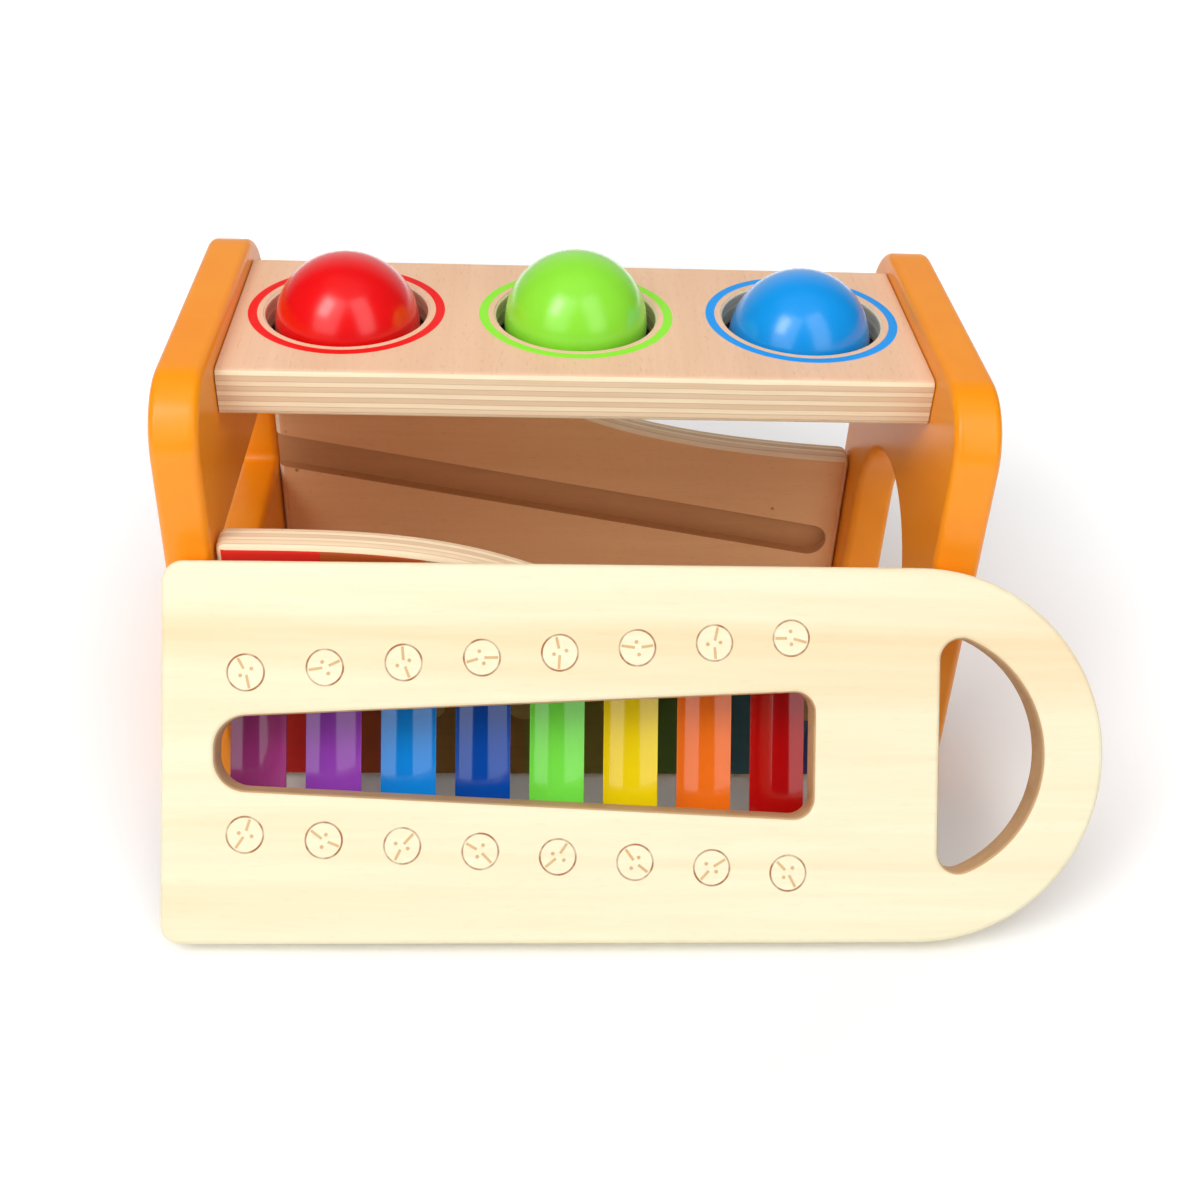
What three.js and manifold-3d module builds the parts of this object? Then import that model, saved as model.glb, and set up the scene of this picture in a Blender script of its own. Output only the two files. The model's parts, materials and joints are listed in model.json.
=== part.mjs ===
// A wooden pounding bench with three balls, and the key board (a small xylophone) that belongs in it.
// The key board has been drawn out of the bench and leans on its front with the underside outwards.
// Millimetres, +Z up. The bench stands on Z = 0 with its length along X and its front towards -Y.

import * as THREE from 'three';
import { mergeVertices } from 'three/addons/utils/BufferGeometryUtils.js';
import Module from 'manifold-3d';

const wasm = await Module();
wasm.setup();

// Clearances
const gap = 0.3; // between pieces that are fixed together or rest on each other
const past = 5; // how far a cutting shape runs beyond the face that it opens
const arcSag = 0.12; // most that a straight facet leaves the round edge it stands for

// Balls, the holes they are knocked through and the rubber rings that grip them
const ballDiameter = 45;
const ballSpacing = 71.3; // centre to centre along the top board
const ballSinks = { red: 5, green: 2.9, blue: 7.6 }; // centre of each ball below the board's upper face
const holeClearance = 2.6; // all round a ball
const holeRimChamfer = 0.6;
const ringHeight = 3.6;
const ringLipHeight = 1.6;
const ringSeatDepth = 2.5; // how far the ring sits into the wall of its hole
const ringFloor = 2; // wood left under the ring's groove

// Top board
const boardThickness = 14.8;
const boardDepth = 79.3;
const boardSetback = 6.9; // middle of the board behind the middle of the bench
const holeSetback = 2.1; // line of holes behind the middle of the board
const boardEndMargin = 34.3; // from the outer hole's centre to the board's end
const boardEase = 2.2;

// Dowels that join the top board to the side panels
const dowelRadius = 3.9;
const dowelSpacing = 54;
const dowelInBoard = 16;
const dowelInSide = 8;

// Key board
const keyBoardWidth = 109;
const keyBoardThickness = 11.5;
const keyBoardEase = 1.2;
const keyBoardCornerRadius = 6;
const keyBoardHeadMargin = 23.8; // from the first key's middle to the square end
const keyBoardRoundMargin = 37.95; // from the last key's middle to the centre of the round end
const gripWidth = 18; // of the bow between the hand hole and the round end
const handHoleInset = 6.1; // straight side of the hand hole past the centre of the round end
const handHoleCornerRadius = 6;
const windowHeadMargin = 8.6; // window's narrow end past the first key's middle
const windowTailMargin = 7.1; // window's wide end past the last key's middle
const windowHeadHalf = 10.1; // half height of the window at its narrow end
const windowTailHalf = 18.4; // and at its wide end
const windowHeadRadius = 8.5;
const windowTailRadius = 6;

// Keys and what carries them
const keyColours = {
  violet: 0x8a3a7c,
  purple: 0x7b3fa6,
  light_blue: 0x1c7fd0,
  dark_blue: 0x0c4fa8,
  green: 0x4fbf46,
  yellow: 0xf9cf10,
  orange: 0xf4611c,
  red: 0xb3121a,
};
const keyPitch = 22.15;
const keyWidth = 16.4;
const keyThickness = 1.2;
const keyRise = 2.2; // height of the arched section
const keyCornerRadius = 2.5;
const keyOverhang = 6.2; // past each pin
const firstPinHalf = 23; // pin to the board's middle line, at the first key
const pinHalfStep = 1.56; // and how much further out each next key's pins stand
const keyEdgeHeight = 21.3; // key's long edges above the board's underside
const feltThickness = 2;
const feltWidth = 8;
const postRadius = 4.9;
const pinRadius = 1.2;
const pinHeadRadius = 3.2;
const pinHeadHeight = 1.7;
const pinInPost = 10;

// Front and back panels, with the grooves that carry the key board's edges
const panelThickness = 11;
const panelEase = 2;
const panelFloorGap = 1.5;
const waveHighHeight = 92.6; // top of the panel at the left
const waveLowHeight = 57; // and at the right
const wavePlateau = 15.6; // level stretch at the left end
const waveHighReach = 98; // length of the curve's handle at its high end
const waveLowReach = 130; // and at its low end
const waveLowSlope = 0.06;
const waveSteps = 16;
const grooveDepth = 4.2;
const grooveEdgeClearance = 0.7; // beside the key board's edge
const grooveFaceClearance = 1.7; // over the key board's thickness
const grooveSlope = THREE.MathUtils.degToRad(10.4);
const grooveEntryHeight = 57.4; // middle of the groove at its open left end
const grooveEndMargin = 11.6; // from the round end's centre to the panel's right end
const tenonLength = 6;
const tenonHeight = 24;
const tenonBottom = 10;
const tenonShoulder = 1.6; // wood left outside the tenon

// Side panels
const benchHeight = 140;
const sideThickness = 14;
const sideRise = 6.5; // above the top board
const sideEase = 2.5;
const shoulderRadius = 20;
const footMargin = 5.5; // front edge past the front panel's face, at the floor
const shoulderMargin = 1.1; // and where the rounded shoulder starts
const slotHeight = 34;
const slotCornerRadius = 3;
const archWidth = 74;
const archRise = 84.5;

// How the key board leans
const leanAngle = THREE.MathUtils.degToRad(35); // from upright
const firstKeyOffset = -93.8; // first key's middle from the middle of the bench

// Worked out from the sizes above
const ballRadius = ballDiameter / 2;
const holeRadius = ballRadius + holeClearance;
const innerLength = 2 * (ballSpacing + boardEndMargin);
const innerHalf = innerLength / 2;
const boardTop = benchHeight - sideRise;
const boardBottom = boardTop - boardThickness;
const boardMiddleY = boardSetback;
const holeY = boardMiddleY + holeSetback;
const dowelHeight = boardBottom + boardThickness / 2;
const ringBottom = boardBottom + ringFloor;
const insideHalf = keyBoardWidth / 2 - grooveDepth + grooveEdgeClearance;
const outsideHalf = insideHalf + panelThickness;
const footHalf = outsideHalf + footMargin;
const shoulderHalf = outsideHalf + shoulderMargin;
const shoulderHeight = benchHeight - shoulderRadius;
const grooveHalf = (keyBoardThickness + grooveFaceClearance) / 2;
const slotBottom = grooveEntryHeight - grooveHalf / Math.cos(grooveSlope);
const slotHalf = insideHalf + grooveDepth;
const keyNames = Object.keys(keyColours);
const lastKey = keyNames.length - 1;
const roundEndRadius = keyBoardWidth / 2;
const roundEndX = lastKey * keyPitch + keyBoardRoundMargin;
const feltTop = keyEdgeHeight - gap;
const postHeight = feltTop - feltThickness - gap;
const keyTop = keyEdgeHeight + keyRise + keyThickness;

// Turns a closed triangle mesh into a solid that can be cut and joined.
function toSolid(geometry) {
  const bare = new THREE.BufferGeometry();
  bare.setAttribute('position', geometry.getAttribute('position'));
  bare.setIndex(geometry.getIndex());
  const merged = mergeVertices(bare, 1e-4);
  return new wasm.Manifold(new wasm.Mesh({
    numProp: 3,
    vertProperties: new Float32Array(merged.getAttribute('position').array),
    triVerts: new Uint32Array(merged.getIndex().array),
  }));
}

function toGeometry(solid) {
  const mesh = solid.getMesh();
  const geometry = new THREE.BufferGeometry();
  geometry.setAttribute('position', new THREE.BufferAttribute(mesh.vertProperties, 3));
  geometry.setIndex(new THREE.BufferAttribute(mesh.triVerts, 1));
  geometry.computeVertexNormals();
  return geometry;
}

function cut(geometry, ...tools) {
  let solid = toSolid(geometry);
  for (const tool of tools) solid = solid.subtract(toSolid(tool));
  return toGeometry(solid);
}

function join(geometry, ...others) {
  let solid = toSolid(geometry);
  for (const other of others) solid = solid.add(toSolid(other));
  return toGeometry(solid);
}

function common(geometry, other) {
  return toGeometry(toSolid(geometry).intersect(toSolid(other)));
}

// A box between two corners.
function boxBetween(low, high) {
  const size = high.map((value, axis) => value - low[axis]);
  const middle = high.map((value, axis) => (value + low[axis]) / 2);
  return new THREE.BoxGeometry(...size).translate(...middle);
}

// A round bar along X from one X to another.
function barAlongX(radius, fromX, toX, y, z, sides = 16) {
  const bar = new THREE.CylinderGeometry(radius, radius, toX - fromX, sides);
  return bar.rotateZ(Math.PI / 2).translate((fromX + toX) / 2, y, z);
}

// A round bar along Z.
function barAlongZ(radius, fromZ, toZ, x, y, sides = 12) {
  const bar = new THREE.CylinderGeometry(radius, radius, toZ - fromZ, sides);
  return bar.rotateX(Math.PI / 2).translate(x, y, (fromZ + toZ) / 2);
}

// A profile of [radius, height] points turned about Z.
function turned(points, sides) {
  const profile = points.map(([radius, height]) => new THREE.Vector2(radius, height));
  return new THREE.LatheGeometry(profile, sides).rotateX(Math.PI / 2);
}

// A plate of the outline's size whose edges, and those of its holes, are rounded over by ease.
function easedPlate(outline, thickness, ease, steps) {
  const plate = new THREE.ExtrudeGeometry(outline, {
    depth: thickness - 2 * ease,
    bevelEnabled: true,
    bevelThickness: ease,
    bevelSize: ease,
    bevelOffset: -ease,
    bevelSegments: steps,
  });
  return plate.translate(0, 0, ease);
}

// Stands a plate drawn in (Y, Z) upright, with its thickness running along +X.
function standAcross(geometry) {
  const turn = new THREE.Matrix4().makeBasis(
    new THREE.Vector3(0, 1, 0),
    new THREE.Vector3(0, 0, 1),
    new THREE.Vector3(1, 0, 0),
  );
  return geometry.applyMatrix4(turn);
}

// Points along a round edge, in facets as long as the sag allows.
function arcPoints(x, y, radius, from, to) {
  const facet = 2 * Math.acos(1 - arcSag / radius);
  const count = Math.max(2, Math.ceil(Math.abs(to - from) / facet));
  return Array.from({ length: count + 1 }, (unused, step) => {
    const angle = from + (to - from) * step / count;
    return new THREE.Vector2(x + radius * Math.cos(angle), y + radius * Math.sin(angle));
  });
}

// Points round a convex outline, taken anticlockwise, with each corner rounded by its own radius.
function roundedCorners(corners) {
  return corners.flatMap(({ at, radius }, index) => {
    const corner = new THREE.Vector2(...at);
    const before = new THREE.Vector2(...corners.at(index - 1).at).sub(corner).normalize();
    const after = new THREE.Vector2(...corners[(index + 1) % corners.length].at).sub(corner).normalize();
    const half = before.angleTo(after) / 2;
    const centre = corner.clone().add(before.add(after).setLength(radius / Math.sin(half)));
    const middle = corner.clone().sub(centre).angle();
    const sweep = Math.PI / 2 - half;
    return arcPoints(centre.x, centre.y, radius, middle - sweep, middle + sweep);
  });
}

// The corners of a rectangle, all with one radius.
function rectangle(low, high, radius) {
  const corners = [low, [high[0], low[1]], high, [low[0], high[1]]];
  return corners.map((at) => ({ at, radius }));
}

// The bench

// Half depth of a side panel at a height on its straight, slightly splayed edge.
function sideHalfAt(height) {
  return footHalf + (shoulderHalf - footHalf) * height / shoulderHeight;
}

// Points of a side panel from its back foot to its front one, over the rounded shoulders.
function sidePoints() {
  const shoulderMiddle = shoulderHalf - shoulderRadius;
  return [
    new THREE.Vector2(footHalf, 0),
    ...arcPoints(shoulderMiddle, shoulderHeight, shoulderRadius, 0, Math.PI / 2),
    ...arcPoints(-shoulderMiddle, shoulderHeight, shoulderRadius, Math.PI / 2, Math.PI),
    new THREE.Vector2(-footHalf, 0),
  ];
}

// The left panel has the slot that the key board slides in through.
function leftSideOutline() {
  const outline = new THREE.Shape(sidePoints());
  const slot = rectangle([-slotHalf, slotBottom], [slotHalf, slotBottom + slotHeight], slotCornerRadius);
  outline.holes.push(new THREE.Path(roundedCorners(slot)));
  return outline;
}

// The right panel has the arch that the balls roll out through.
function rightSideOutline() {
  const archRadius = archWidth / 2;
  return new THREE.Shape([
    ...sidePoints(),
    new THREE.Vector2(-archRadius, 0),
    ...arcPoints(0, archRise - archRadius, archRadius, Math.PI, 0),
    new THREE.Vector2(archRadius, 0),
  ]);
}

const dowelRows = [holeY - dowelSpacing / 2, holeY + dowelSpacing / 2];

// Tenon of the front or back panel at one end, grown by a margin where it is used as a cutter.
function tenon(side, facing, margin) {
  const outer = outsideHalf - tenonShoulder + margin;
  const inner = insideHalf + grooveDepth + tenonShoulder / 2 - margin;
  const x = [innerHalf - past, innerHalf + tenonLength + margin];
  const low = [side > 0 ? x[0] : -x[1], facing > 0 ? inner : -outer, tenonBottom - margin];
  const high = [side > 0 ? x[1] : -x[0], facing > 0 ? outer : -inner, tenonBottom + tenonHeight + margin];
  return boxBetween(low, high);
}

// A side panel with its blind dowel holes and the mortises for the front and back panels.
function sidePanel(outline, side) {
  const plate = standAcross(easedPlate(outline, sideThickness, sideEase, 2));
  plate.translate(side > 0 ? innerHalf : -innerHalf - sideThickness, 0, 0);
  const depth = innerHalf + dowelInSide + gap;
  const ends = side > 0 ? [innerHalf - past, depth] : [-depth, past - innerHalf];
  const tools = dowelRows.map((y) => barAlongX(dowelRadius + gap, ...ends, y, dowelHeight));
  tools.push(tenon(side, 1, gap), tenon(side, -1, gap));
  return cut(plate, ...tools);
}

// One hole of the top board, with the groove that its grip ring sits in.
function ballHole() {
  const seat = holeRadius + ringSeatDepth + gap;
  const rim = boardTop - holeRimChamfer;
  return turned([
    [0, boardBottom - past],
    [holeRadius, boardBottom - past],
    [holeRadius, ringBottom - gap],
    [seat, ringBottom - gap],
    [seat, ringBottom + ringHeight + gap],
    [holeRadius, ringBottom + ringHeight + gap],
    [holeRadius, rim],
    [holeRadius + holeRimChamfer + past, boardTop + past],
    [0, boardTop + past],
  ], 36);
}

const ballPlaces = Object.keys(ballSinks).map((colour, index) => ({
  colour,
  x: (index - 1) * ballSpacing,
  z: boardTop - ballSinks[colour],
}));

// The plywood board between the side panels: long edges rounded over, ends square.
function topBoard() {
  const halfDepth = boardDepth / 2;
  const low = [boardMiddleY - halfDepth, boardBottom];
  const high = [boardMiddleY + halfDepth, boardTop];
  const section = new THREE.Shape(roundedCorners(rectangle(low, high, boardEase)));
  const length = innerLength - 2 * gap;
  const options = { depth: length, bevelEnabled: false };
  const board = standAcross(new THREE.ExtrudeGeometry(section, options)).translate(-length / 2, 0, 0);
  const tools = ballPlaces.map(({ x }) => ballHole().translate(x, holeY, 0));
  for (const y of dowelRows) {
    const start = innerHalf - dowelInBoard - gap;
    tools.push(barAlongX(dowelRadius + gap, start, innerHalf + past, y, dowelHeight));
    tools.push(barAlongX(dowelRadius + gap, -innerHalf - past, -start, y, dowelHeight));
  }
  return cut(board, ...tools);
}

// The wave along the top of the front and back panels, from the low right end to the level stretch at the left.
function waveCurve() {
  const half = innerHalf - gap;
  const waveStart = wavePlateau - half;
  return new THREE.CubicBezierCurve(
    new THREE.Vector2(half, waveLowHeight),
    new THREE.Vector2(half - waveLowReach, waveLowHeight + waveLowSlope * waveLowReach),
    new THREE.Vector2(waveStart + waveHighReach, waveHighHeight),
    new THREE.Vector2(waveStart, waveHighHeight),
  );
}

// Height of the wave at an X between the side panels.
function waveHeightAt(x) {
  const points = waveCurve().getPoints(waveSteps);
  const passed = points.find((point) => point.x <= x);
  return passed ? passed.y : waveHighHeight;
}

// Outline of the front and back panels in (X, Z).
function waveOutline() {
  const half = innerHalf - gap;
  return new THREE.Shape([
    new THREE.Vector2(-half, panelFloorGap),
    new THREE.Vector2(half, panelFloorGap),
    ...waveCurve().getPoints(waveSteps),
    new THREE.Vector2(-half, waveHighHeight),
  ]);
}

// The slanted groove, open at the left end and round at the right one, as a cutter in (X, Z).
function grooveCutter() {
  const endX = innerHalf - grooveEndMargin;
  const endZ = grooveEntryHeight - (innerHalf + endX) * Math.tan(grooveSlope);
  const length = (innerHalf + endX) / Math.cos(grooveSlope) + past;
  const outline = new THREE.Shape([
    new THREE.Vector2(-length, -grooveHalf),
    ...arcPoints(0, 0, grooveHalf, -Math.PI / 2, Math.PI / 2),
    new THREE.Vector2(-length, grooveHalf),
  ]);
  const options = { depth: grooveDepth + past, bevelEnabled: false };
  const cutter = new THREE.ExtrudeGeometry(outline, options);
  return cutter.rotateZ(-grooveSlope).translate(endX, endZ, -past);
}

// The front or back panel: drawn in (X, Z) with its grooved face at 0, then stood up facing the inside.
function wavePanel(facing) {
  const plate = cut(easedPlate(waveOutline(), panelThickness, panelEase, 2), grooveCutter());
  const stand = new THREE.Matrix4().makeBasis(
    new THREE.Vector3(1, 0, 0),
    new THREE.Vector3(0, 0, 1),
    new THREE.Vector3(0, facing, 0),
  );
  plate.applyMatrix4(stand).translate(0, facing * insideHalf, 0);
  if (facing > 0) plate.setIndex([...plate.getIndex().array].reverse());
  return join(plate, tenon(1, facing, 0), tenon(-1, facing, 0));
}

// The rubber ring in a hole: a flat body held in the groove and a thin lip drawn out against the ball.
function gripRing(ballSink) {
  const bodyRadius = holeRadius + ringSeatDepth;
  const lipTop = ringBottom + ringLipHeight;
  const lipReach = Math.sqrt(ballRadius ** 2 - (boardTop - ballSink - lipTop) ** 2);
  const lipRadius = lipReach + gap;
  return turned([
    [lipRadius, ringBottom],
    [bodyRadius, ringBottom],
    [bodyRadius, ringBottom + ringHeight],
    [holeRadius, ringBottom + ringHeight],
    [lipRadius + ringLipHeight / 2, lipTop + ringLipHeight / 2],
    [lipRadius, lipTop],
    [lipRadius, ringBottom],
  ], 32);
}

// The key board, drawn lying flat with its underside on Z = 0 and the first key's middle on X = 0

function keyBoardOutline() {
  const half = keyBoardWidth / 2;
  const headX = -keyBoardHeadMargin;
  const radius = keyBoardCornerRadius;
  const outline = new THREE.Shape([
    ...arcPoints(headX + radius, radius - half, radius, Math.PI, 1.5 * Math.PI),
    ...arcPoints(roundEndX, 0, roundEndRadius, -Math.PI / 2, Math.PI / 2),
    ...arcPoints(headX + radius, half - radius, radius, Math.PI / 2, Math.PI),
  ]);
  outline.holes.push(soundWindow(), handHole());
  return outline;
}

// The tapered window under the middle of the keys.
function soundWindow() {
  const headX = -windowHeadMargin;
  const tailX = lastKey * keyPitch + windowTailMargin;
  return new THREE.Path(roundedCorners([
    { at: [headX, -windowHeadHalf], radius: windowHeadRadius },
    { at: [tailX, -windowTailHalf], radius: windowTailRadius },
    { at: [tailX, windowTailHalf], radius: windowTailRadius },
    { at: [headX, windowHeadHalf], radius: windowHeadRadius },
  ]));
}

// The D-shaped hand hole: its bow is concentric with the round end, its corners are rounded.
function handHole() {
  const bow = roundEndRadius - gripWidth;
  const radius = handHoleCornerRadius;
  const straightX = roundEndX + handHoleInset;
  const cornerY = Math.sqrt((bow - radius) ** 2 - (handHoleInset + radius) ** 2);
  const tangent = Math.atan2(cornerY, handHoleInset + radius);
  return new THREE.Path([
    ...arcPoints(straightX + radius, -cornerY, radius, Math.PI, 2 * Math.PI - tangent),
    ...arcPoints(roundEndX, 0, bow, -tangent, tangent).slice(1, -1),
    ...arcPoints(straightX + radius, cornerY, radius, tangent, Math.PI),
  ]);
}

// Pins of one key: the same distance either side of the middle line, further out at each next key.
function pinHalfAt(index) {
  return firstPinHalf + index * pinHalfStep;
}

function keyBoard() {
  const plate = easedPlate(keyBoardOutline(), keyBoardThickness, keyBoardEase, 1);
  const holes = [];
  for (let index = 0; index <= lastKey; index += 1) {
    for (const side of [-1, 1]) {
      const y = side * pinHalfAt(index);
      holes.push(barAlongZ(postRadius + gap, -past, keyBoardThickness + past, index * keyPitch, y));
    }
  }
  return cut(plate, ...holes);
}

// An arched strip of sheet metal with rounded corners and a hole at each pin.
function key(index) {
  const length = 2 * (pinHalfAt(index) + keyOverhang);
  const inner = (keyWidth ** 2 / 4 + keyRise ** 2) / (2 * keyRise);
  const spread = Math.asin(keyWidth / 2 / inner);
  const from = Math.PI / 2 - spread;
  const to = Math.PI / 2 + spread;
  const section = new THREE.Shape([
    ...arcPoints(0, 0, inner + keyThickness, from, to),
    ...arcPoints(0, 0, inner, to, from),
  ]);
  const options = { depth: length, bevelEnabled: false };
  const strip = new THREE.ExtrudeGeometry(section, options).translate(0, 0, -length / 2).rotateX(Math.PI / 2);
  strip.translate(0, 0, keyEdgeHeight + keyRise - inner);

  const high = [keyWidth / 2, length / 2];
  const low = high.map((value) => -value);
  const plan = new THREE.Shape(roundedCorners(rectangle(low, high, keyCornerRadius)));
  const planOptions = { depth: keyTop + past, bevelEnabled: false };
  const rounded = common(strip, new THREE.ExtrudeGeometry(plan, planOptions));
  const holes = [-1, 1].map((side) => {
    const y = side * pinHalfAt(index);
    return barAlongZ(pinRadius + 2 * gap, keyEdgeHeight - past, keyTop + past, 0, y, 10);
  });
  return cut(rounded, ...holes);
}

// A felt strip along one row of posts, pierced by the pins.
function feltStrip(side) {
  const run = lastKey * keyPitch;
  const angle = Math.atan2(side * lastKey * pinHalfStep, run);
  const length = (run + keyWidth) / Math.cos(angle);
  const strip = new THREE.BoxGeometry(length, feltWidth, feltThickness).rotateZ(angle);
  const middleY = side * (pinHalfAt(0) + pinHalfAt(lastKey)) / 2;
  strip.translate(run / 2, middleY, feltTop - feltThickness / 2);
  const holes = keyNames.map((name, index) => {
    const y = side * pinHalfAt(index);
    return barAlongZ(pinRadius + gap, feltTop - feltThickness - past, feltTop + past, index * keyPitch, y, 8);
  });
  return cut(strip, ...holes);
}

// A wooden post that passes through the board, drilled at its upper end for the pin.
function post() {
  return turned([
    [0, 0],
    [postRadius, 0],
    [postRadius, postHeight],
    [pinRadius + gap, postHeight],
    [pinRadius + gap, postHeight - pinInPost - gap],
    [0, postHeight - pinInPost - gap],
  ], 12);
}

// A domed pin through the key and the felt into its post.
function pin() {
  const seat = keyTop + gap;
  const domeSteps = [0, Math.PI / 4];
  return turned([
    [0, postHeight - pinInPost],
    [pinRadius, postHeight - pinInPost],
    [pinRadius, seat],
    ...domeSteps.map((angle) => [pinHeadRadius * Math.cos(angle), seat + pinHeadHeight * Math.sin(angle)]),
    [0, seat + pinHeadHeight],
  ], 8);
}

// Finishes

function finish(color, roughness, metalness = 0) {
  return new THREE.MeshStandardMaterial({ color, roughness, metalness });
}

const orangePaint = finish(0xf28a12, 0.42);
const plywood = finish(0xe6bf98, 0.6);
const paleWood = finish(0xf3e3bd, 0.62);
const rubber = finish(0x161414, 0.8);
const felt = finish(0x3a3a3c, 0.95);
const pinSteel = finish(0xb9bcc0, 0.3, 1);
const ballPaint = { red: 0xd80d12, green: 0x6cc627, blue: 0x1583d6 };

function piece(name, geometry, material) {
  const mesh = new THREE.Mesh(geometry, material);
  mesh.name = name;
  return mesh;
}

function buildBench() {
  const bench = new THREE.Group();
  bench.add(
    piece('left_side_panel', sidePanel(leftSideOutline(), -1), orangePaint),
    piece('right_side_panel', sidePanel(rightSideOutline(), 1), orangePaint),
    piece('top_board', topBoard(), plywood),
    piece('front_panel', wavePanel(-1), plywood),
    piece('back_panel', wavePanel(1), plywood),
  );
  for (const [end, side] of [['left', -1], ['right', 1]]) {
    dowelRows.forEach((y, row) => {
      const reach = [innerHalf - dowelInBoard, innerHalf + dowelInSide].map((x) => side * x);
      const dowel = barAlongX(dowelRadius, Math.min(...reach), Math.max(...reach), y, dowelHeight, 12);
      bench.add(piece(`dowel_${end}_${row === 0 ? 'front' : 'back'}`, dowel, paleWood));
    });
  }
  for (const { colour, x, z } of ballPlaces) {
    const ball = piece(`ball_${colour}`, new THREE.SphereGeometry(ballRadius, 24, 14), finish(ballPaint[colour], 0.2));
    ball.rotation.x = Math.PI / 2;
    ball.position.set(x, holeY, z);
    const ring = piece(`grip_ring_${colour}`, gripRing(ballSinks[colour]), rubber);
    ring.position.set(x, holeY, 0);
    bench.add(ball, ring);
  }
  return bench;
}

function buildKeyBoard() {
  const group = new THREE.Group();
  group.add(
    piece('key_board', keyBoard(), paleWood),
    piece('felt_strip_a', feltStrip(-1), felt),
    piece('felt_strip_b', feltStrip(1), felt),
  );
  keyNames.forEach((name, index) => {
    const bar = piece(`key_${name}`, key(index), finish(keyColours[name], 0.25, 0.3));
    bar.position.x = index * keyPitch;
    group.add(bar);
    for (const [row, side] of [['a', -1], ['b', 1]]) {
      const peg = piece(`post_${name}_${row}`, post(), paleWood);
      const nail = piece(`pin_${name}_${row}`, pin(), pinSteel);
      for (const item of [peg, nail]) {
        item.position.set(index * keyPitch, side * pinHalfAt(index), 0);
        group.add(item);
      }
    }
  });
  return group;
}

// How far forward the key board has to stay so that no key's upper end runs into the front panel.
// A key that reaches over the panel's wave is free.
function keyReliefAt(index, position) {
  const outwards = pinHalfAt(index) + keyOverhang;
  const y = position.y + outwards * Math.sin(leanAngle) + keyTop * Math.cos(leanAngle);
  const z = position.z + outwards * Math.cos(leanAngle) - keyTop * Math.sin(leanAngle);
  const nearSide = position.x + index * keyPitch - keyWidth / 2;
  return z > waveHeightAt(nearSide) + gap ? 0 : Math.max(0, y + outsideHalf + gap);
}

// Stands the key board's upper back edge against the side panels and its lower back edge on the floor.
function leanKeyBoard(group) {
  const topEdgeHeight = keyBoardWidth * Math.cos(leanAngle);
  const easeDrop = keyBoardEase * Math.sin(leanAngle); // what the eased edges take off the reach
  const topEdgeY = easeDrop - gap - sideHalfAt(topEdgeHeight);
  const position = new THREE.Vector3(
    firstKeyOffset,
    topEdgeY - keyBoardWidth / 2 * Math.sin(leanAngle) - keyBoardThickness * Math.cos(leanAngle),
    topEdgeHeight / 2 + keyBoardThickness * Math.sin(leanAngle) - easeDrop,
  );
  position.y -= Math.max(...keyNames.map((name, index) => keyReliefAt(index, position)));
  group.rotation.x = -(Math.PI / 2 + leanAngle);
  group.position.copy(position);
  return group;
}

const toy = new THREE.Group();
toy.add(buildBench(), leanKeyBoard(buildKeyBoard()));

// The origin is under the middle of everything that stands on the floor.
const bounds = new THREE.Box3().setFromObject(toy, true);
const middle = bounds.getCenter(new THREE.Vector3());
toy.position.set(-middle.x, -middle.y, -bounds.min.z);

export default toy;
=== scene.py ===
# %% [markdown]
# # A wooden pounding bench and the key board that belongs in it
#
# The toy is a short bench of plywood between two orange side panels. Three lacquered balls sit in
# rubber-gripped holes, ready to be knocked through. Its key board, a small xylophone, has been drawn
# out through the slot in the left panel and leans on the front with its underside towards us.
#
# The solids of the toy are already packed as a fixed frame in metres. Each cell below takes one of its
# pieces, models it again with the tools that a Blender user has at hand, and gives it a finish.

# %% Frame and tools
import json
import math

import bmesh
import bpy
from mathutils import Matrix, Vector, geometry

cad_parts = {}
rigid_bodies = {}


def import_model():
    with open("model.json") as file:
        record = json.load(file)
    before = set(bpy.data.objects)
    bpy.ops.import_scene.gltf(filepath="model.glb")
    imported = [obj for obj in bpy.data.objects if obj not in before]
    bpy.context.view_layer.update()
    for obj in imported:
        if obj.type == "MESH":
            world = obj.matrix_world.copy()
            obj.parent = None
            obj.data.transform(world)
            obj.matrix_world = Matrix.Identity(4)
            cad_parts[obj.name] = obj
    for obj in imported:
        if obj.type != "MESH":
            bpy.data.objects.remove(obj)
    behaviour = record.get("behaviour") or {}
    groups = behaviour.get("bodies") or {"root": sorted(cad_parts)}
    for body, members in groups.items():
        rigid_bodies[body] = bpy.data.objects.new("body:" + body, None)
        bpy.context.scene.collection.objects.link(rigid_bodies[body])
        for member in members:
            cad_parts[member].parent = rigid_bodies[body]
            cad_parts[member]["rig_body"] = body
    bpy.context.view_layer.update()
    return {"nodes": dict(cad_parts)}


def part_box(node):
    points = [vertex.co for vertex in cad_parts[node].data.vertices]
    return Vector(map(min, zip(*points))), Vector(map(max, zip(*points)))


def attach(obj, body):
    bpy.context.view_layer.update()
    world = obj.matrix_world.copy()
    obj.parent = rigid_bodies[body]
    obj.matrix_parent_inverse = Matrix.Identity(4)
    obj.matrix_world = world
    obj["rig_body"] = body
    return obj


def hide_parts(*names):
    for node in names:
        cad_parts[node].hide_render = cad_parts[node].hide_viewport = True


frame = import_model()
MM = 0.001

left_low, left_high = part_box("left_side_panel")
right_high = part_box("right_side_panel")[1]
bench_middle = Vector(((left_low.x + right_high.x) / 2, (left_low.y + left_high.y) / 2, 0))
rounded = [round(v, 4) for v in bench_middle]
print(f"{len(frame['nodes'])} solids loaded; the bench's middle is at {rounded}")

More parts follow.
